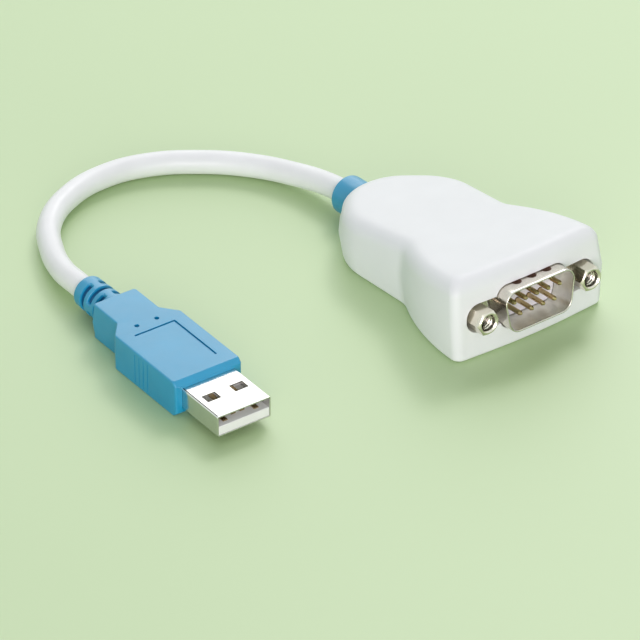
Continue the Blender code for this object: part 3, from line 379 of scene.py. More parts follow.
def metal(name, colour, roughness, tint=0.08):
    """Plated metal: clouded in tone, with fine marks from its making."""
    look = Look(name, roughness, metallic=1.0)
    cloud = look.noise(METAL_CLOUDS, detail=4.0, distortion=METAL_CLOUD_DISTORTION)
    look.colour(cloud, shade(colour, 1 - tint), shade(colour, 1 + tint))
    marks = look.noise(METAL_MARKS, detail=3.0)
    look.rough(marks, METAL_MARK_CHANGE)
    waves = look.bump(look.noise(METAL_WAVES, detail=2.0), METAL_WAVE_HEIGHT)
    look.bump(marks, METAL_MARK_HEIGHT, waves)
    return look.made


WHITE = plastic("housing_white", (0.88, 0.89, 0.90), 0.44, tint=0.012)
JACKET = plastic("jacket_white", (0.92, 0.925, 0.93), 0.38, grain=0.000003, grain_scale=4500)
BLUE = plastic("plug_blue", (0.004, 0.310, 0.550), 0.32,
               grain=0.000002, grain_scale=6000, tint=0.05, gloss=0.95)
# Painted shade: the slots of the relief get this darker blue
SLOT_PAINTED_SHADE = plastic("slot_painted_shade", (0.003, 0.125, 0.290), 0.45,
                    grain=0.000002, grain_scale=6000, tint=0.05)
NYLON = plastic("connector_nylon", (0.84, 0.81, 0.85), 0.45)
TONGUE_WHITE = plastic("tongue_white", (0.90, 0.90, 0.88), 0.40)
NICKEL = metal("stamped_nickel", (0.68, 0.64, 0.575), 0.20)
SHELL_INSIDE = metal("shell_inside", (0.73, 0.73, 0.65), 0.34, tint=0.18)
# Painted shade: the dimples in the serial shell get this darker colour
DIMPLE_PAINTED_SHADE = metal("shell_dimple_painted_shade", (0.30, 0.20, 0.16), 0.40)
BRIGHT = metal("bright_nickel", (0.74, 0.69, 0.59), 0.16)
# Painted shade in the thread's grooves and the deep end of the bore; the same dark colour marks
# the sleeve's seam
BORE_SHADE_AND_SEAM_DARK = metal("bore_painted_shade_and_seam_dark", (0.12, 0.11, 0.085), 0.22)
SLEEVE = metal("sleeve_nickel", (0.70, 0.69, 0.665), 0.16, tint=0.03)
GOLD = metal("contact_gold", (0.52, 0.40, 0.22), 0.13, tint=0.22)
BOARD = plastic("board_mask", (0.02, 0.20, 0.09), 0.40,
                grain=0.000003, grain_scale=3000, tint=0.15)
EPOXY = plastic("chip_epoxy", (0.02, 0.02, 0.022), 0.50,
                grain=0.000008, grain_scale=6000, tint=0.15)
CERAMIC = plastic("capacitor_ceramic", (0.50, 0.36, 0.22), 0.45, tint=0.1)
WIRE_LOOKS = {
    "red": plastic("wire_red", (0.60, 0.03, 0.03), 0.35, tint=0.06),
    "white": plastic("wire_white", (0.80, 0.80, 0.78), 0.35, tint=0.03),
    "green": plastic("wire_green", (0.03, 0.35, 0.08), 0.35, tint=0.06),
    "black": plastic("wire_black", (0.02, 0.02, 0.02), 0.35, tint=0.10),
}
NODE_LOOKS = {
    "housing": WHITE, "serial_shroud": NICKEL, "serial_rear_shell": NICKEL,
    "serial_insulator": NYLON, "standoff_left": BRIGHT, "standoff_right": BRIGHT,
    "nut_left": BRIGHT, "nut_right": BRIGHT, "circuit_board": BOARD,
    "level_shifter_chip": EPOXY, "usb_bridge_chip": EPOXY, "crystal": NICKEL,
    "cable_collar": BLUE, "cable": JACKET, "plug_overmould": BLUE,
    "usb_shell": BRIGHT, "usb_tongue": NYLON,
}


def look_of(node):
    """The finish of one of the model's solids."""
    if node in NODE_LOOKS:
        return NODE_LOOKS[node]
    if node.startswith(("pin_", "usb_contact_")):
        return GOLD
    if node.startswith("capacitor_"):
        return CERAMIC
    return WIRE_LOOKS[node.split("_")[-1]]


def dress_nodes():
    """Each solid of the model gets the finish that the real piece has."""
    for name, node in NODES.items():
        if not node.material_slots:
            node.data.materials.append(look_of(name))
        for place in node.material_slots:
            place.material = look_of(name)


# Camera, light and floor

def place_in_scene(name, data):
    """A new object of this data, in the scene."""
    placed = bpy.data.objects.new(name, data)
    bpy.context.scene.collection.objects.link(placed)
    return placed


def make_camera():
    """The photograph's camera."""
    data = bpy.data.cameras.new("camera")
    data.sensor_width = CAMERA_SENSOR
    data.lens = CAMERA_LENS
    data.clip_start, data.clip_end = CAMERA_CLIP
    camera = place_in_scene("camera", data)
    camera.location = CAMERA_AT
    camera.rotation_euler = (math.pi / 2 - CAMERA_PITCH, 0.0, -CAMERA_YAW)
    bpy.context.scene.camera = camera


def area_light(name, at, size, power, colour):
    """A square lamp that points at the origin."""
    data = bpy.data.lights.new(name, "AREA")
    data.shape = "SQUARE"
    data.size = size
    data.energy = power
    data.color = colour
    light = place_in_scene(name, data)
    light.location = at
    light.rotation_euler = (-Vector(at)).to_track_quat("-Z", "Y").to_euler()


def make_world():
    """Even light all round, which polished metal sees a little brighter."""
    world = bpy.data.worlds.new("studio")
    world.use_nodes = True
    nodes = world.node_tree.nodes
    links = world.node_tree.links
    background = nodes["Background"]
    background.inputs["Color"].default_value = (*WORLD_COLOUR, 1.0)
    path = nodes.new("ShaderNodeLightPath")
    seen = nodes.new("ShaderNodeMath")
    seen.operation = "MAXIMUM"
    links.new(path.outputs["Is Glossy Ray"], seen.inputs[0])
    links.new(path.outputs["Is Camera Ray"], seen.inputs[1])
    strength = nodes.new("ShaderNodeMapRange")
    strength.inputs["To Min"].default_value = WORLD_STRENGTH
    strength.inputs["To Max"].default_value = WORLD_STRENGTH_SEEN
    links.new(seen.outputs[0], strength.inputs["Value"])
    links.new(strength.outputs["Result"], background.inputs["Strength"])
    bpy.context.scene.world = world


def make_floor():
    """The green paper that the adapter lies on."""
    size = FLOOR_HALF_WIDTH
    mesh = bpy.data.meshes.new("floor")
    mesh.from_pydata([(-size, -size, 0), (size, -size, 0), (size, size, 0), (-size, size, 0)],
                     [], [(0, 1, 2, 3)])
    floor = place_in_scene("floor", mesh)
    look = Look("green_paper", FLOOR_ROUGHNESS)
    look.shader.inputs["IOR"].default_value = FLOOR_IOR
    look.colour(look.noise(FLOOR_CLOUDS, detail=2.0), *FLOOR_TONES)
    look.bump(look.noise(FLOOR_FIBRES, detail=4.0), FLOOR_FIBRE_HEIGHT)
    mesh.materials.append(look.made)


# Outlines and solids. Both are built along the axes of the housing or the plug,
# with the outlines in the plane across them, and moved to their place at the end.

def full_turn(steps):
    """The angles of a whole circle."""
    return [2 * math.pi * i / steps for i in range(steps)]


def circle(radius, centre=(0.0, 0.0), steps=CIRCLE_STEPS):
    """Points round a circle."""
    return [(centre[0] + radius * math.cos(turn), centre[1] + radius * math.sin(turn))
            for turn in full_turn(steps)]


def arc(steps, sweep=math.pi / 2):
    """Pairs (over, under) along an edge of radius 1: how far inwards, and what is left."""
    turns = [sweep * step / steps for step in range(steps + 1)]
    return [(1 - math.cos(turn), 1 - math.sin(turn)) for turn in turns]


def blend_in(value, low, high):
    """From 0 at low to 1 at high, with soft ends."""
    share = min(1.0, max(0.0, (value - low) / (high - low)))
    return share * share * (3 - 2 * share)


def with_neighbours(corners):
    """The place of each corner, between the place before it and the place after it."""
    places = [Vector(corner[:2]) for corner in corners]
    return list(zip(places[-1:] + places[:-1], places, places[1:] + places[:1]))


def fillet_reach(corners):
    """How far each fillet runs along its edges, kept within those edges."""
    reach = []
    for (before, place, after), (_, _, radius) in zip(with_neighbours(corners), corners):
        reach.append(radius / math.tan((before - place).angle(after - place) / 2))
    room = [1.0] * len(corners)
    for i, (before, place, _) in enumerate(with_neighbours(corners)):
        needed = max(reach[i - 1] + reach[i], NO_RUN)
        share = min(1.0, FILLET_SHARE * (place - before).length / needed)
        room[i - 1] = min(room[i - 1], share)
        room[i] = min(room[i], share)
    return [length * share for length, share in zip(reach, room)]


def rounded_outline(corners, steps):
    """Points round a closed outline, from corners (x, y, fillet radius)."""
    points = []
    for (before, corner, after), reach in zip(with_neighbours(corners), fillet_reach(corners)):
        before = (before - corner).normalized()
        after = (after - corner).normalized()
        half = before.angle(after) / 2
        centre = corner + (before + after).normalized() * reach / math.cos(half)
        start = corner + before * reach - centre
        end = corner + after * reach - centre
        sweep = -start.angle_signed(end)
        for step in range(steps + 1):
            points.append(centre + Matrix.Rotation(sweep * step / steps, 2) @ start)
    return points


def inset_corners(corners, inset):
    """The corners of an outline after all its edges move inwards."""
    moved = []
    for (before, corner, after), (_, _, radius) in zip(with_neighbours(corners), corners):
        before = (corner - before).normalized()
        after = (after - corner).normalized()
        inward = Vector((-before.y - after.y, before.x + after.x))
        place = corner + inward * inset / (1 + before.dot(after))
        moved.append((place.x, place.y, radius))
    return moved


def mirrored(right):
    """The corners on the left that follow these on the right."""
    return [(-x, y, radius) for x, y, radius in reversed(right)]


def rectangle(width, height, radius, steps=PLUG_FILLET_STEPS):
    """A rounded rectangle about the middle."""
    x = width / 2
    y = height / 2
    corners = [(-x, -y, radius), (x, -y, radius), (x, y, radius), (-x, y, radius)]
    return rounded_outline(corners, steps)


def across(outline, distance):
    """An outline set across the axis of the housing or the plug."""
    return [(point[0], distance, point[1]) for point in outline]


def skin(name, rings, looped=False):
    """A solid through rings of points: capped at both ends, or back to the first."""
    size = len(rings[0])
    count = len(rings)
    faces = []
    for ring in range(count if looped else count - 1):
        low = ring * size
        high = (ring + 1) % count * size
        for i in range(size):
            after = (i + 1) % size
            faces.append((low + i, low + after, high + after, high + i))
    if not looped:
        faces.append(tuple(range(size)))
        faces.append(tuple(range((count - 1) * size, count * size)))
    mesh = bpy.data.meshes.new(name)
    mesh.from_pydata([place for ring in rings for place in ring], [], faces)
    turned = bmesh.new()
    turned.from_mesh(mesh)
    bmesh.ops.recalc_face_normals(turned, faces=turned.faces)
    turned.to_mesh(mesh)
    turned.free()
    return mesh


def prism(name, outline, low, high):
    """A cutter with this outline, along the axis from low to high."""
    return skin(name, [across(outline, low), across(outline, high)])


def moved_to(name, shape, at):
    """A mesh of the shape, with its middle at this place."""
    mesh = bpy.data.meshes.new(name)
    bmesh.ops.translate(shape, vec=at, verts=shape.verts)
    shape.to_mesh(mesh)
    shape.free()
    return mesh


def block(name, size, at):
    """A box to cut with."""
    shape = bmesh.new()
    bmesh.ops.create_cube(shape, size=1.0)
    bmesh.ops.scale(shape, vec=size, verts=shape.verts)
    return moved_to(name, shape, at)


def ball(name, radius, at):
    """A ball to cut with."""
    shape = bmesh.new()
    bmesh.ops.create_icosphere(shape, subdivisions=BALL_SUBDIVISIONS, radius=radius)
    return moved_to(name, shape, at)


def carved(mesh, cutters):
    """The mesh after these solids are taken out of it."""
    body = place_in_scene(mesh.name, mesh)
    tools = []
    for cutter in cutters:
        tool = place_in_scene(cutter.name, cutter)
        cut = body.modifiers.new(cutter.name, "BOOLEAN")
        cut.solver = "EXACT"
        cut.operation = "DIFFERENCE"
        cut.object = tool
        tools.append(tool)
    graph = bpy.context.evaluated_depsgraph_get()
    made = bpy.data.meshes.new_from_object(body.evaluated_get(graph))
    for used in [body] + tools:
        bpy.data.objects.remove(used)
    return made


# Pieces

def add_piece(name, data, look, replaced=()):
    """A piece of the object that stands for nodes of the model."""
    piece = place_in_scene(name, data)
    data.materials.append(look)
    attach(piece, "root")
    if replaced:
        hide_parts(*replaced)
    return piece


def add_solid(name, mesh, axes, look, node):
    """A softly shaded piece from a mesh that was built along these axes."""
    mesh.transform(axes)
    mesh.shade_smooth()
    mesh.set_sharp_from_angle(angle=math.radians(SMOOTH_UP_TO[name]))
    return add_piece(name, mesh, look, [node])


def paint(piece, axes, look, chosen):
    """Give another finish to the faces that the test picks, by their middles and
    normals along these axes."""
    into_axes = axes.inverted()
    turned = into_axes.to_3x3()
    piece.data.materials.append(look)
    for face in piece.data.polygons:
        if chosen(into_axes @ face.center, turned @ face.normal):
            face.material_index = len(piece.data.materials) - 1


def half_height_at(distance):
    """Half the height of the wedge this far behind its front face."""
    return FRONT_HEIGHT / 2 - distance * math.tan(WEDGE_HALF_ANGLE)


def housing_outline(inset):
    """The plan of the housing after its walls move inwards, with its tail a little
    to the left."""
    right = [(FLARE_HALF_WIDTH, FACE_BOW, CORNER_RADIUS),
             (FLARE_HALF_WIDTH, FLARE_AT, FLARE_RADIUS),
             (WAIST_HALF_WIDTH, WAIST_AT, WAIST_RADIUS),
             (REAR_HALF_WIDTH, REAR_SHOULDER_AT, SHOULDER_RADIUS),
             (REAR_FLAT_HALF_WIDTH, HOUSING_LENGTH, TAIL_RADIUS)]
    (tail_x, *tail), (shoulder_x, shoulder_y, shoulder_radius), *left = mirrored(right)
    left = [(tail_x + 2 * TAIL_SIDEWAYS, *tail),
            (shoulder_x, shoulder_y - TAIL_SIDEWAYS, shoulder_radius)] + left
    corners = [(0.0, 0.0, FACE_BOW_RADIUS)] + right + left
    return rounded_outline(inset_corners(corners, inset), FILLET_STEPS)


def edge_rings(side, radius):
    """Rings (inset, side, drop) from the wall round an edge and onto the flat."""
    rings = [(WALL_LEAN + radius * over, side, radius * under)
             for over, under in arc(HOUSING_EDGE_STEPS)]
    return rings + [(WALL_LEAN + radius + OPENING_EDGE_RADIUS, side, 0.0)]


def shroud_outline(grow):
    """The keyed D outline of the serial connector, wide side up."""
    top = SHROUD_INNER_WIDTH / 2 + grow
    half = SHROUD_INNER_HEIGHT / 2 + grow
    bottom = top - 2 * half * math.tan(SHROUD_SLANT)
    radius = SHROUD_CORNER_RADIUS + grow
    corners = [(-bottom, -half, radius), (bottom, -half, radius),
               (top, half, radius), (-top, half, radius)]
    return rounded_outline(corners, FILLET_STEPS)


def soften_opening(mesh):
    """Round the edge where the face of the housing meets its opening."""
    shape = bmesh.new()
    shape.from_mesh(mesh)
    chosen = []
    for edge in shape.edges:
        slopes = sorted(face.normal.y for face in edge.link_faces)
        in_face = all(abs(vert.co.x) < FLANGE_WIDTH / 2 + FLANGE_ROOM
                      and vert.co.y < FLANGE_SETBACK / 2 for vert in edge.verts)
        if in_face and slopes[0] < -FACE_NORMAL and abs(slopes[-1]) < WALL_NORMAL:
            chosen.append(edge)
    bmesh.ops.bevel(shape, geom=chosen, offset=OPENING_EDGE_RADIUS,
                    segments=OPENING_EDGE_STEPS, affect="EDGES", profile=0.5)
    shape.to_mesh(mesh)
    shape.free()


def make_housing():
    """The white moulding, with the opening round its connector and its rear hole."""
    sides = (edge_rings(-1, LOWER_EDGE_RADIUS)[::-1] + [(0.0, 0, 0.0)]
             + edge_rings(1, TOP_EDGE_RADIUS))
    rings = [[(point.x, point.y, side * (half_height_at(point.y) - drop))
              for point in housing_outline(inset)] for inset, side, drop in sides]
    window = shroud_outline(SHROUD_WALL + FACE_SHROUD_CLEARANCE)
    slot = rectangle(SCREW_SPACING + FACE_SLOT_HEIGHT, FACE_SLOT_HEIGHT, FACE_SLOT_RADIUS,
                     SLOT_END_STEPS)
    pocket_depth = FLANGE_THICKNESS + 2 * FLANGE_ROOM
    pocket_size = (FLANGE_WIDTH + 2 * FLANGE_ROOM, pocket_depth, FLANGE_HEIGHT + 2 * FLANGE_ROOM)
    pocket_at = (0, FLANGE_SETBACK - FLANGE_ROOM + pocket_depth / 2, 0)
    hole = circle(COLLAR_HOLE_DIAMETER / 2, (COLLAR_SIDEWAYS, 0.0))
    mesh = carved(skin("housing_moulding", rings), [
        prism("window", window, -CUT_MARGIN, FLANGE_SETBACK + FLANGE_ROOM),
        prism("slot", slot, -CUT_MARGIN, FLANGE_SETBACK + FLANGE_ROOM),
        block("flange_pocket", pocket_size, pocket_at),
        prism("collar_hole", hole, HOUSING_LENGTH - COLLAR_HOLE_DEPTH,
              HOUSING_LENGTH + CUT_MARGIN)])
    soften_opening(mesh)
    add_solid("housing_moulding", mesh, HOUSING_AXES, WHITE, "housing")


def shroud_path():
    """The shell's wall as (grow, distance): inner side, rounded rim, outer side, root."""
    half_wall = SHROUD_WALL / 2
    wall_front = RIM_AT + 3 * half_wall
    path = [(0.0, FLANGE_BACK), (0.0, wall_front)]
    path += [(half_wall * over, RIM_AT + half_wall * under)
             for over, under in arc(SHROUD_RIM_STEPS, math.pi)]
    path.append((SHROUD_WALL, wall_front))
    path += [(SHROUD_WALL + SHROUD_ROOT_RADIUS * over, FLANGE_SETBACK - SHROUD_ROOT_RADIUS * under)
             for over, under in arc(SHROUD_ROOT_STEPS)]
    return path


def make_shroud():
    """The stamped shell: its plate, root, dimpled wall and rounded rim, with painted shade in the
    dimples.
    """
    rings = [across(shroud_outline(grow), distance) for grow, distance in shroud_path()]
    plate = rectangle(FLANGE_WIDTH, FLANGE_HEIGHT, FLANGE_CORNER_RADIUS, FILLET_STEPS)
    rings += [across(plate, FLANGE_SETBACK), across(plate, FLANGE_BACK)]
    dimple_at = RIM_AT + GROUND_DIMPLE_BEHIND_RIM
    dimple_height = (SHROUD_INNER_HEIGHT / 2 + SHROUD_WALL + GROUND_DIMPLE_RADIUS
                     - GROUND_DIMPLE_DEPTH)
    dimples = [ball(f"dimple_{side}_{i}", GROUND_DIMPLE_RADIUS,
                    (i * GROUND_DIMPLE_PITCH, dimple_at, side * dimple_height))
               for side in (-1, 1) for i in (-1, 0, 1)]
    mesh = carved(skin("serial_shell", rings, looped=True), dimples)
    shell = add_solid("serial_shell", mesh, HOUSING_AXES, NICKEL,
                      "serial_shroud")

    def is_inside(place, normal):
        return (abs(normal.y) < WALL_NORMAL and normal.x * place.x + normal.z * place.z < 0
                and abs(place.z) < (SHROUD_INNER_HEIGHT + SHROUD_WALL) / 2)

    def is_shaded_dimple(place, normal):
        from_edge = (place.x + GROUND_DIMPLE_PITCH / 2) % GROUND_DIMPLE_PITCH
        from_middle = Vector((from_edge - GROUND_DIMPLE_PITCH / 2, place.y - dimple_at,
                              abs(place.z) - dimple_height))
        outward = Vector((normal.x, normal.y, normal.z * math.copysign(1.0, place.z)))
        return (abs(from_middle.length - GROUND_DIMPLE_RADIUS) < DIMPLE_FIT
                and from_middle.normalized().dot(outward) < -DIMPLE_FACING)

    paint(shell, HOUSING_AXES, SHELL_INSIDE, is_inside)
    # Painted shade: the dimples are painted a darker brown
    paint(shell, HOUSING_AXES, DIMPLE_PAINTED_SHADE, is_shaded_dimple)


def make_standoff(label, side):
    """A hex standoff with chamfered corners and a real screw thread inside, with painted shade in
    its grooves and the deep end of its bore.
    """
    centre = side * SCREW_SPACING / 2
    foot = FLANGE_SETBACK - STANDOFF_SEAT
    face = foot - STANDOFF_LENGTH
    bore_start = face + THREAD_COUNTERSINK
    face_radius = STANDOFF_FACE_DIAMETER / 2
    major = THREAD_DIAMETER / 2
    turns = full_turn(STANDOFF_STEPS)
    sixth = math.pi / 3
    hexagon = [STANDOFF_ACROSS_FLATS / 2 / math.cos(turn % sixth - sixth / 2) for turn in turns]

    def ring(radii, distances):
        return [(centre + radius * math.cos(turn), distance, radius * math.sin(turn))
                for turn, radius, distance in zip(turns, radii, distances)]

    def level_ring(radii, distance):
        return ring(radii, [distance] * STANDOFF_STEPS)

    def plain(radius, distance):
        return level_ring([radius] * STANDOFF_STEPS, distance)

    slope = math.tan(STANDOFF_CHAMFER)
    rings = [level_ring(hexagon, foot),
             ring(hexagon, [face + (radius - face_radius) * slope for radius in hexagon]),
             plain(face_radius, face), plain(major + THREAD_COUNTERSINK, face),
             plain(major, bore_start)]
    for i in range(1, round(THREAD_LENGTH / THREAD_PITCH) * THREAD_RINGS):
        threads = i / THREAD_RINGS
        radii = []
        for turn in turns:
            phase = (threads - turn / (2 * math.pi)) % 1.0
            groove = THREAD_DEPTH * (1 - abs(2 * phase - 1)) * min(1.0, threads)
            radii.append(major - groove)
        rings.append(level_ring(radii, bore_start + i * THREAD_PITCH / THREAD_RINGS))
    name = f"hex_standoff_{label}"
    standoff = add_solid(name, skin(name, rings), HOUSING_AXES, BRIGHT,
                         f"standoff_{label}")

    def is_shaded_bore(place, normal):
        away = math.hypot(place.x - centre, place.z)
        in_bore = away < major and place.y > bore_start
        return in_bore and (away > major - THREAD_DEPTH / 2
                            or place.y > face + THREAD_LENGTH / 2)

    # Painted shade: the thread's grooves and the deep end of the bore are painted dark
    paint(standoff, HOUSING_AXES, BORE_SHADE_AND_SEAM_DARK, is_shaded_bore)


def usb_shell_path():
    """The sleeve's wall as (inset, distance): inner side, rounded mouth, outer side."""
    edge = USB_SHELL_EDGE
    path = [(USB_SHELL_WALL, USB_SHELL_LENGTH), (USB_SHELL_WALL, 2 * edge)]
    bend = arc(USB_SHELL_EDGE_STEPS)
    path += [(USB_SHELL_WALL - edge * over, edge * under) for over, under in bend]
    path += [(edge * under, edge * over) for over, under in bend]
    return path + [(0.0, 2 * edge), (0.0, USB_SHELL_LENGTH)]


def make_usb_shell():
    """The folded sleeve of the plug: softened edges, windows and its seam."""
    rings = [across(rectangle(USB_SHELL_WIDTH - 2 * inset, USB_SHELL_HEIGHT - 2 * inset,
                              USB_SHELL_CORNER_RADIUS - inset), distance)
             for inset, distance in usb_shell_path()]
    cutters = [block(f"window_{side}",
                     (USB_WINDOW_WIDTH, USB_WINDOW_LENGTH, USB_SHELL_HEIGHT + CUT_MARGIN),
                     (side * USB_WINDOW_SPACING / 2, USB_WINDOW_AT, 0)) for side in (-1, 1)]
    seam_at = USB_SEAM_WIDTH / 2 + USB_SHELL_CORNER_RADIUS / 2 - USB_SHELL_WIDTH / 2
    cutters.append(block("seam", (USB_SEAM_WIDTH, 2 * USB_SHELL_LENGTH, 2 * USB_SEAM_DEPTH),
                         (seam_at, USB_SHELL_LENGTH + 4 * USB_SHELL_EDGE,
                          USB_SHELL_HEIGHT / 2)))
    mesh = carved(skin("usb_sleeve", rings, looped=True), cutters)
    sleeve = add_solid("usb_sleeve", mesh, PLUG_AXES, SLEEVE, "usb_shell")

    def is_seam(place, normal):
        aside = abs(place.x - seam_at) / USB_SEAM_WIDTH
        depth = (USB_SHELL_HEIGHT / 2 - place.z) / USB_SEAM_DEPTH
        return aside < 1 / 2 + SEAM_SLACK and 1 / 4 < depth < 1 + SEAM_SLACK

    paint(sleeve, PLUG_AXES, BORE_SHADE_AND_SEAM_DARK, is_seam)
    return sleeve


def make_tongue():
    """The white block that carries the contacts, flush with the mouth of the sleeve.
    Its rear fills the sleeve, and there it is a little wider than in front."""
    room = USB_SHELL_WALL + FIT_ROOM
    width = USB_SHELL_WIDTH - 2 * room
    low = room - USB_SHELL_HEIGHT / 2
    height = TONGUE_TOP_AT - low
    outline = [(x, z + low + height / 2)
               for x, z in rectangle(width, height, TONGUE_CORNER_RADIUS, TONGUE_FILLET_STEPS)]
    edge = USB_SHELL_EDGE
    inner = [(x * (1 - 2 * edge / width), z + (edge if z < TONGUE_TOP_AT - height / 2 else -edge))
             for x, z in outline]
    wider = FIT_ROOM / 4
    full = rectangle(width + 2 * wider, USB_SHELL_HEIGHT - 2 * (room - wider),
                     TONGUE_CORNER_RADIUS, TONGUE_FILLET_STEPS)
    body = skin("contact_block", [across(inner, TONGUE_SETBACK),
                                  across(outline, TONGUE_SETBACK + edge),
                                  across(outline, TONGUE_BLOCK_AT),
                                  across(full, TONGUE_BLOCK_AT),
                                  across(full, TONGUE_LENGTH)])
    wide, high = CONTACT_ROOM
    slots = []
    for i, (x, front) in enumerate(CONTACTS):
        reach = TONGUE_LENGTH + CUT_MARGIN - front
        slots.append(block(f"contact_room_{i}", (wide, reach, high),
                           (x, front - FIT_ROOM + reach / 2, CONTACT_MIDDLE)))
    return add_solid("contact_block", carved(body, slots), PLUG_AXES, TONGUE_WHITE,
                     "usb_tongue")


def plug_outline(inset, front_inset):
    """The plan of the grip and its neck, with its front edge set back."""
    right = [(PLUG_WIDTH / 2, GRIP_AT - inset + front_inset, PLUG_CORNER_RADIUS),
             (PLUG_WIDTH / 2, GRIP_END, PLUG_NECK_RADIUS),
             (PLUG_NECK_WIDTH / 2, NECK_START, PLUG_NECK_RADIUS),
             (PLUG_NECK_WIDTH / 2, NECK_END, PLUG_NECK_END_RADIUS)]
    return rounded_outline(inset_corners(right + mirrored(right), inset), PLUG_FILLET_STEPS)


def grip_rings():
    """The grip from its lower face to its upper one, with its neck swollen halfway."""
    half = PLUG_HEIGHT / 2
    edge = [(0.0, 0.0, half - PLUG_FRONT_CHAMFER)]
    for over, under in arc(PLUG_EDGE_STEPS):
        inset = PLUG_EDGE_RADIUS * over
        drop = PLUG_EDGE_RADIUS * under
        edge.append((inset, PLUG_FRONT_CHAMFER - drop + inset / 2, half - drop))
    above = [[(x, y, height) for x, y in plug_outline(inset, front_inset)]
             for inset, front_inset, height in edge]
    below = [[(x, y, -z) for x, y, z in ring] for ring in reversed(above)]
    middle = []
    for x, y in plug_outline(0.0, 0.0):
        swell = PLUG_NECK_SWELL * blend_in(y, GRIP_END - PLUG_SWELL_LEAD, NECK_START)
        middle.append((x + math.copysign(swell, x), y, 0.0))
    return below + [middle] + above


def grip_rooms():
    """Cutters for the sleeve, the wires and the cable inside the grip."""
    sleeve = rectangle(USB_SHELL_WIDTH + 2 * FIT_ROOM, USB_SHELL_HEIGHT + 2 * FIT_ROOM,
                       USB_SHELL_CORNER_RADIUS, SLEEVE_ROOM_STEPS)
    wires_at = (0, PLUG_CABLE_END_AT + CUT_MARGIN - PLUG_ROOM[1] / 2, 0)
    return [prism("sleeve_room", sleeve, GRIP_AT - CUT_MARGIN,
                  USB_SHELL_LENGTH + CUT_MARGIN / 4),
            block("wire_room", PLUG_ROOM, wires_at),
            prism("cable_room", circle(CABLE_DIAMETER / 2 + FIT_ROOM), PLUG_CABLE_END_AT,
                  NECK_END + CUT_MARGIN)]


def grip_marks():
    """Cutters for the lines on the grip's sides, and the lines and dimples on its top."""
    top = PLUG_HEIGHT / 2
    marks = [block(f"grip_{end}_{i}", (2 * GRIP_LINE_DEPTH, GRIP_LINE_WIDTH, GRIP_LINE_HEIGHT),
                   (end * PLUG_WIDTH / 2, at, 0))
             for i, at in enumerate(GRIP_LINES) for end in (-1, 1)]
    marks.append(block("frame_line_across",
                       (2 * FRAME_LINE_HALF_WIDTH, FRAME_LINE_WIDTH, 2 * FRAME_LINE_DEPTH),
                       (0, FRAME_LINE_REAR, top)))
    marks.append(block("frame_line_along",
                       (FRAME_LINE_WIDTH, FRAME_LINE_REAR - FRAME_LINE_FRONT + FRAME_LINE_WIDTH,
                        2 * FRAME_LINE_DEPTH),
                       (FRAME_LINE_HALF_WIDTH, (FRAME_LINE_REAR + FRAME_LINE_FRONT) / 2, top)))
    for end in (-1, 1):
        dimple = circle(PLUG_DIMPLE_RADIUS, (end * PLUG_DIMPLE_SPACING / 2, PLUG_DIMPLE_AT),
                        PLUG_DIMPLE_STEPS)
        marks.append(skin(f"plug_dimple_{end}",
                          [[(x, y, top - PLUG_DIMPLE_DEPTH) for x, y in dimple],
                           [(x, y, top + CUT_MARGIN) for x, y in dimple]]))
    return marks


def make_grip():
    """The blue grip: chamfered in front, with its lines, dimples and a tight opening."""
    mesh = carved(skin("plug_grip", grip_rings()), grip_rooms() + grip_marks())
    return add_solid("plug_grip", mesh, PLUG_AXES, BLUE, "plug_overmould")


def relief_radii(at, turns):
    """The relief's radius at each turn, this far along it."""
    share = at / RELIEF_LENGTH
    radius = (RELIEF_DIAMETER * (1 - share) + RELIEF_END_DIAMETER * share) / 2
    edge = RELIEF_EDGE_RADIUS
    rounded = edge - (RELIEF_LENGTH - at)
    if rounded > 0:
        radius -= edge - math.sqrt(max(0.0, edge ** 2 - rounded ** 2))
    radii = [radius] * len(turns)
    half_slot = RELIEF_SLOT_WIDTH / 2
    for row, middle in enumerate(RELIEF_SLOTS):
        cut = RELIEF_SLOT_DEPTH * (1 - blend_in(abs(at - middle),
                                                half_slot - RELIEF_SLOT_SOFTNESS,
                                                half_slot + RELIEF_SLOT_SOFTNESS))
        for i, turn in enumerate(turns):
            from_web = (turn + math.pi / 2 * (row % 2 + 1)) % math.pi
            from_web = min(from_web, math.pi - from_web)
            radii[i] -= cut * blend_in(from_web, RELIEF_WEB_HALF_ANGLE - RELIEF_WEB_SOFTNESS,
                                       RELIEF_WEB_HALF_ANGLE + RELIEF_WEB_SOFTNESS)
    return radii


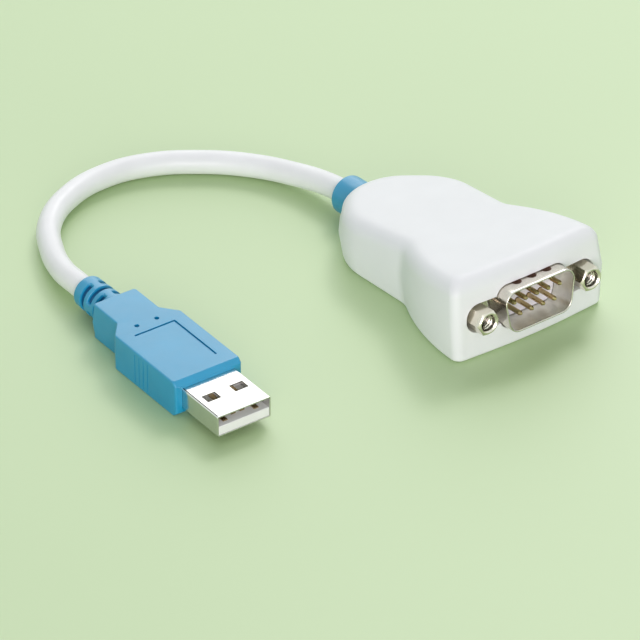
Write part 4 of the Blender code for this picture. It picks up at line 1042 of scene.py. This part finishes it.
def make_relief():
    """The flexible relief: a tapered sleeve whose rows of slots turn a quarter each row, with
    painted shade in the slots.
    """
    bore = CABLE_DIAMETER / 2 + FIT_ROOM
    turns = full_turn(RELIEF_STEPS)
    rings = []
    for i in range(RELIEF_RINGS + 1):
        at = RELIEF_LENGTH * i / RELIEF_RINGS
        rings.append([(radius * math.cos(turn), NECK_END + at, radius * math.sin(turn))
                      for radius, turn in zip(relief_radii(at, turns), turns)])
    rings += [across(circle(bore, steps=RELIEF_STEPS), NECK_END + at)
              for at in (RELIEF_LENGTH, 0.0)]
    relief = add_solid("plug_relief", skin("plug_relief", rings, looped=True), PLUG_AXES, BLUE,
                       "plug_overmould")

    def is_shaded_slot(place, normal):
        away = math.hypot(place.x, place.z)
        beside = min(abs(place.y - NECK_END - middle) for middle in RELIEF_SLOTS)
        return (beside < RELIEF_SLOT_WIDTH and bore + FIT_ROOM / 2 < away
                < RELIEF_END_DIAMETER / 2 - RELIEF_SLOT_DEPTH / 3)

    # Painted shade: the slots are painted a darker blue
    paint(relief, PLUG_AXES, SLOT_PAINTED_SHADE, is_shaded_slot)
    return relief


def make_collar():
    """The blue collar round the cable where it enters the housing."""
    end = HOUSING_LENGTH + COLLAR_PROTRUSION
    bore = CABLE_DIAMETER / 2 + FIT_ROOM
    outer = COLLAR_DIAMETER / 2
    profile = [(bore, end), (bore, end - COLLAR_LENGTH), (outer, end - COLLAR_LENGTH),
               (outer, end - 2 * COLLAR_EDGE_RADIUS)]
    profile += [(outer - COLLAR_EDGE_RADIUS * over, end - COLLAR_EDGE_RADIUS * under)
                for over, under in arc(COLLAR_EDGE_STEPS)]
    rings = [across(circle(radius, (COLLAR_SIDEWAYS, 0.0), COLLAR_STEPS), distance)
             for radius, distance in profile]
    add_solid("collar_ring", skin("collar_ring", rings, looped=True), HOUSING_AXES, BLUE,
              "cable_collar")


def make_cable(plug_pieces):
    """The white jacket, one cord from the housing to the plug. The pieces on its end are passed in
    and not used.
    """
    curve = bpy.data.curves.new("cable_jacket", "CURVE")
    curve.dimensions = "3D"
    curve.bevel_depth = CABLE_DIAMETER / 2
    curve.bevel_resolution = CABLE_SECTION_STEPS
    curve.resolution_u = CABLE_STEPS
    curve.use_fill_caps = True
    spline = curve.splines.new("BEZIER")
    spline.bezier_points.add(len(CABLE_ROUTE) - 1)
    for point, place in zip(spline.bezier_points, CABLE_ROUTE):
        point.co = place
        point.handle_left_type = "AUTO"
        point.handle_right_type = "AUTO"
    cable = add_piece("cable_jacket", curve, JACKET, ["cable"])


bpy.context.scene.view_settings.view_transform = "Standard"
make_camera()
make_world()
for name, lamp in LAMPS.items():
    area_light(name, *lamp)
make_floor()
dress_nodes()
make_housing()
make_shroud()
make_standoff("left", -1)
make_standoff("right", 1)
make_collar()
make_cable([make_usb_shell(), make_tongue(), make_grip(), make_relief()])
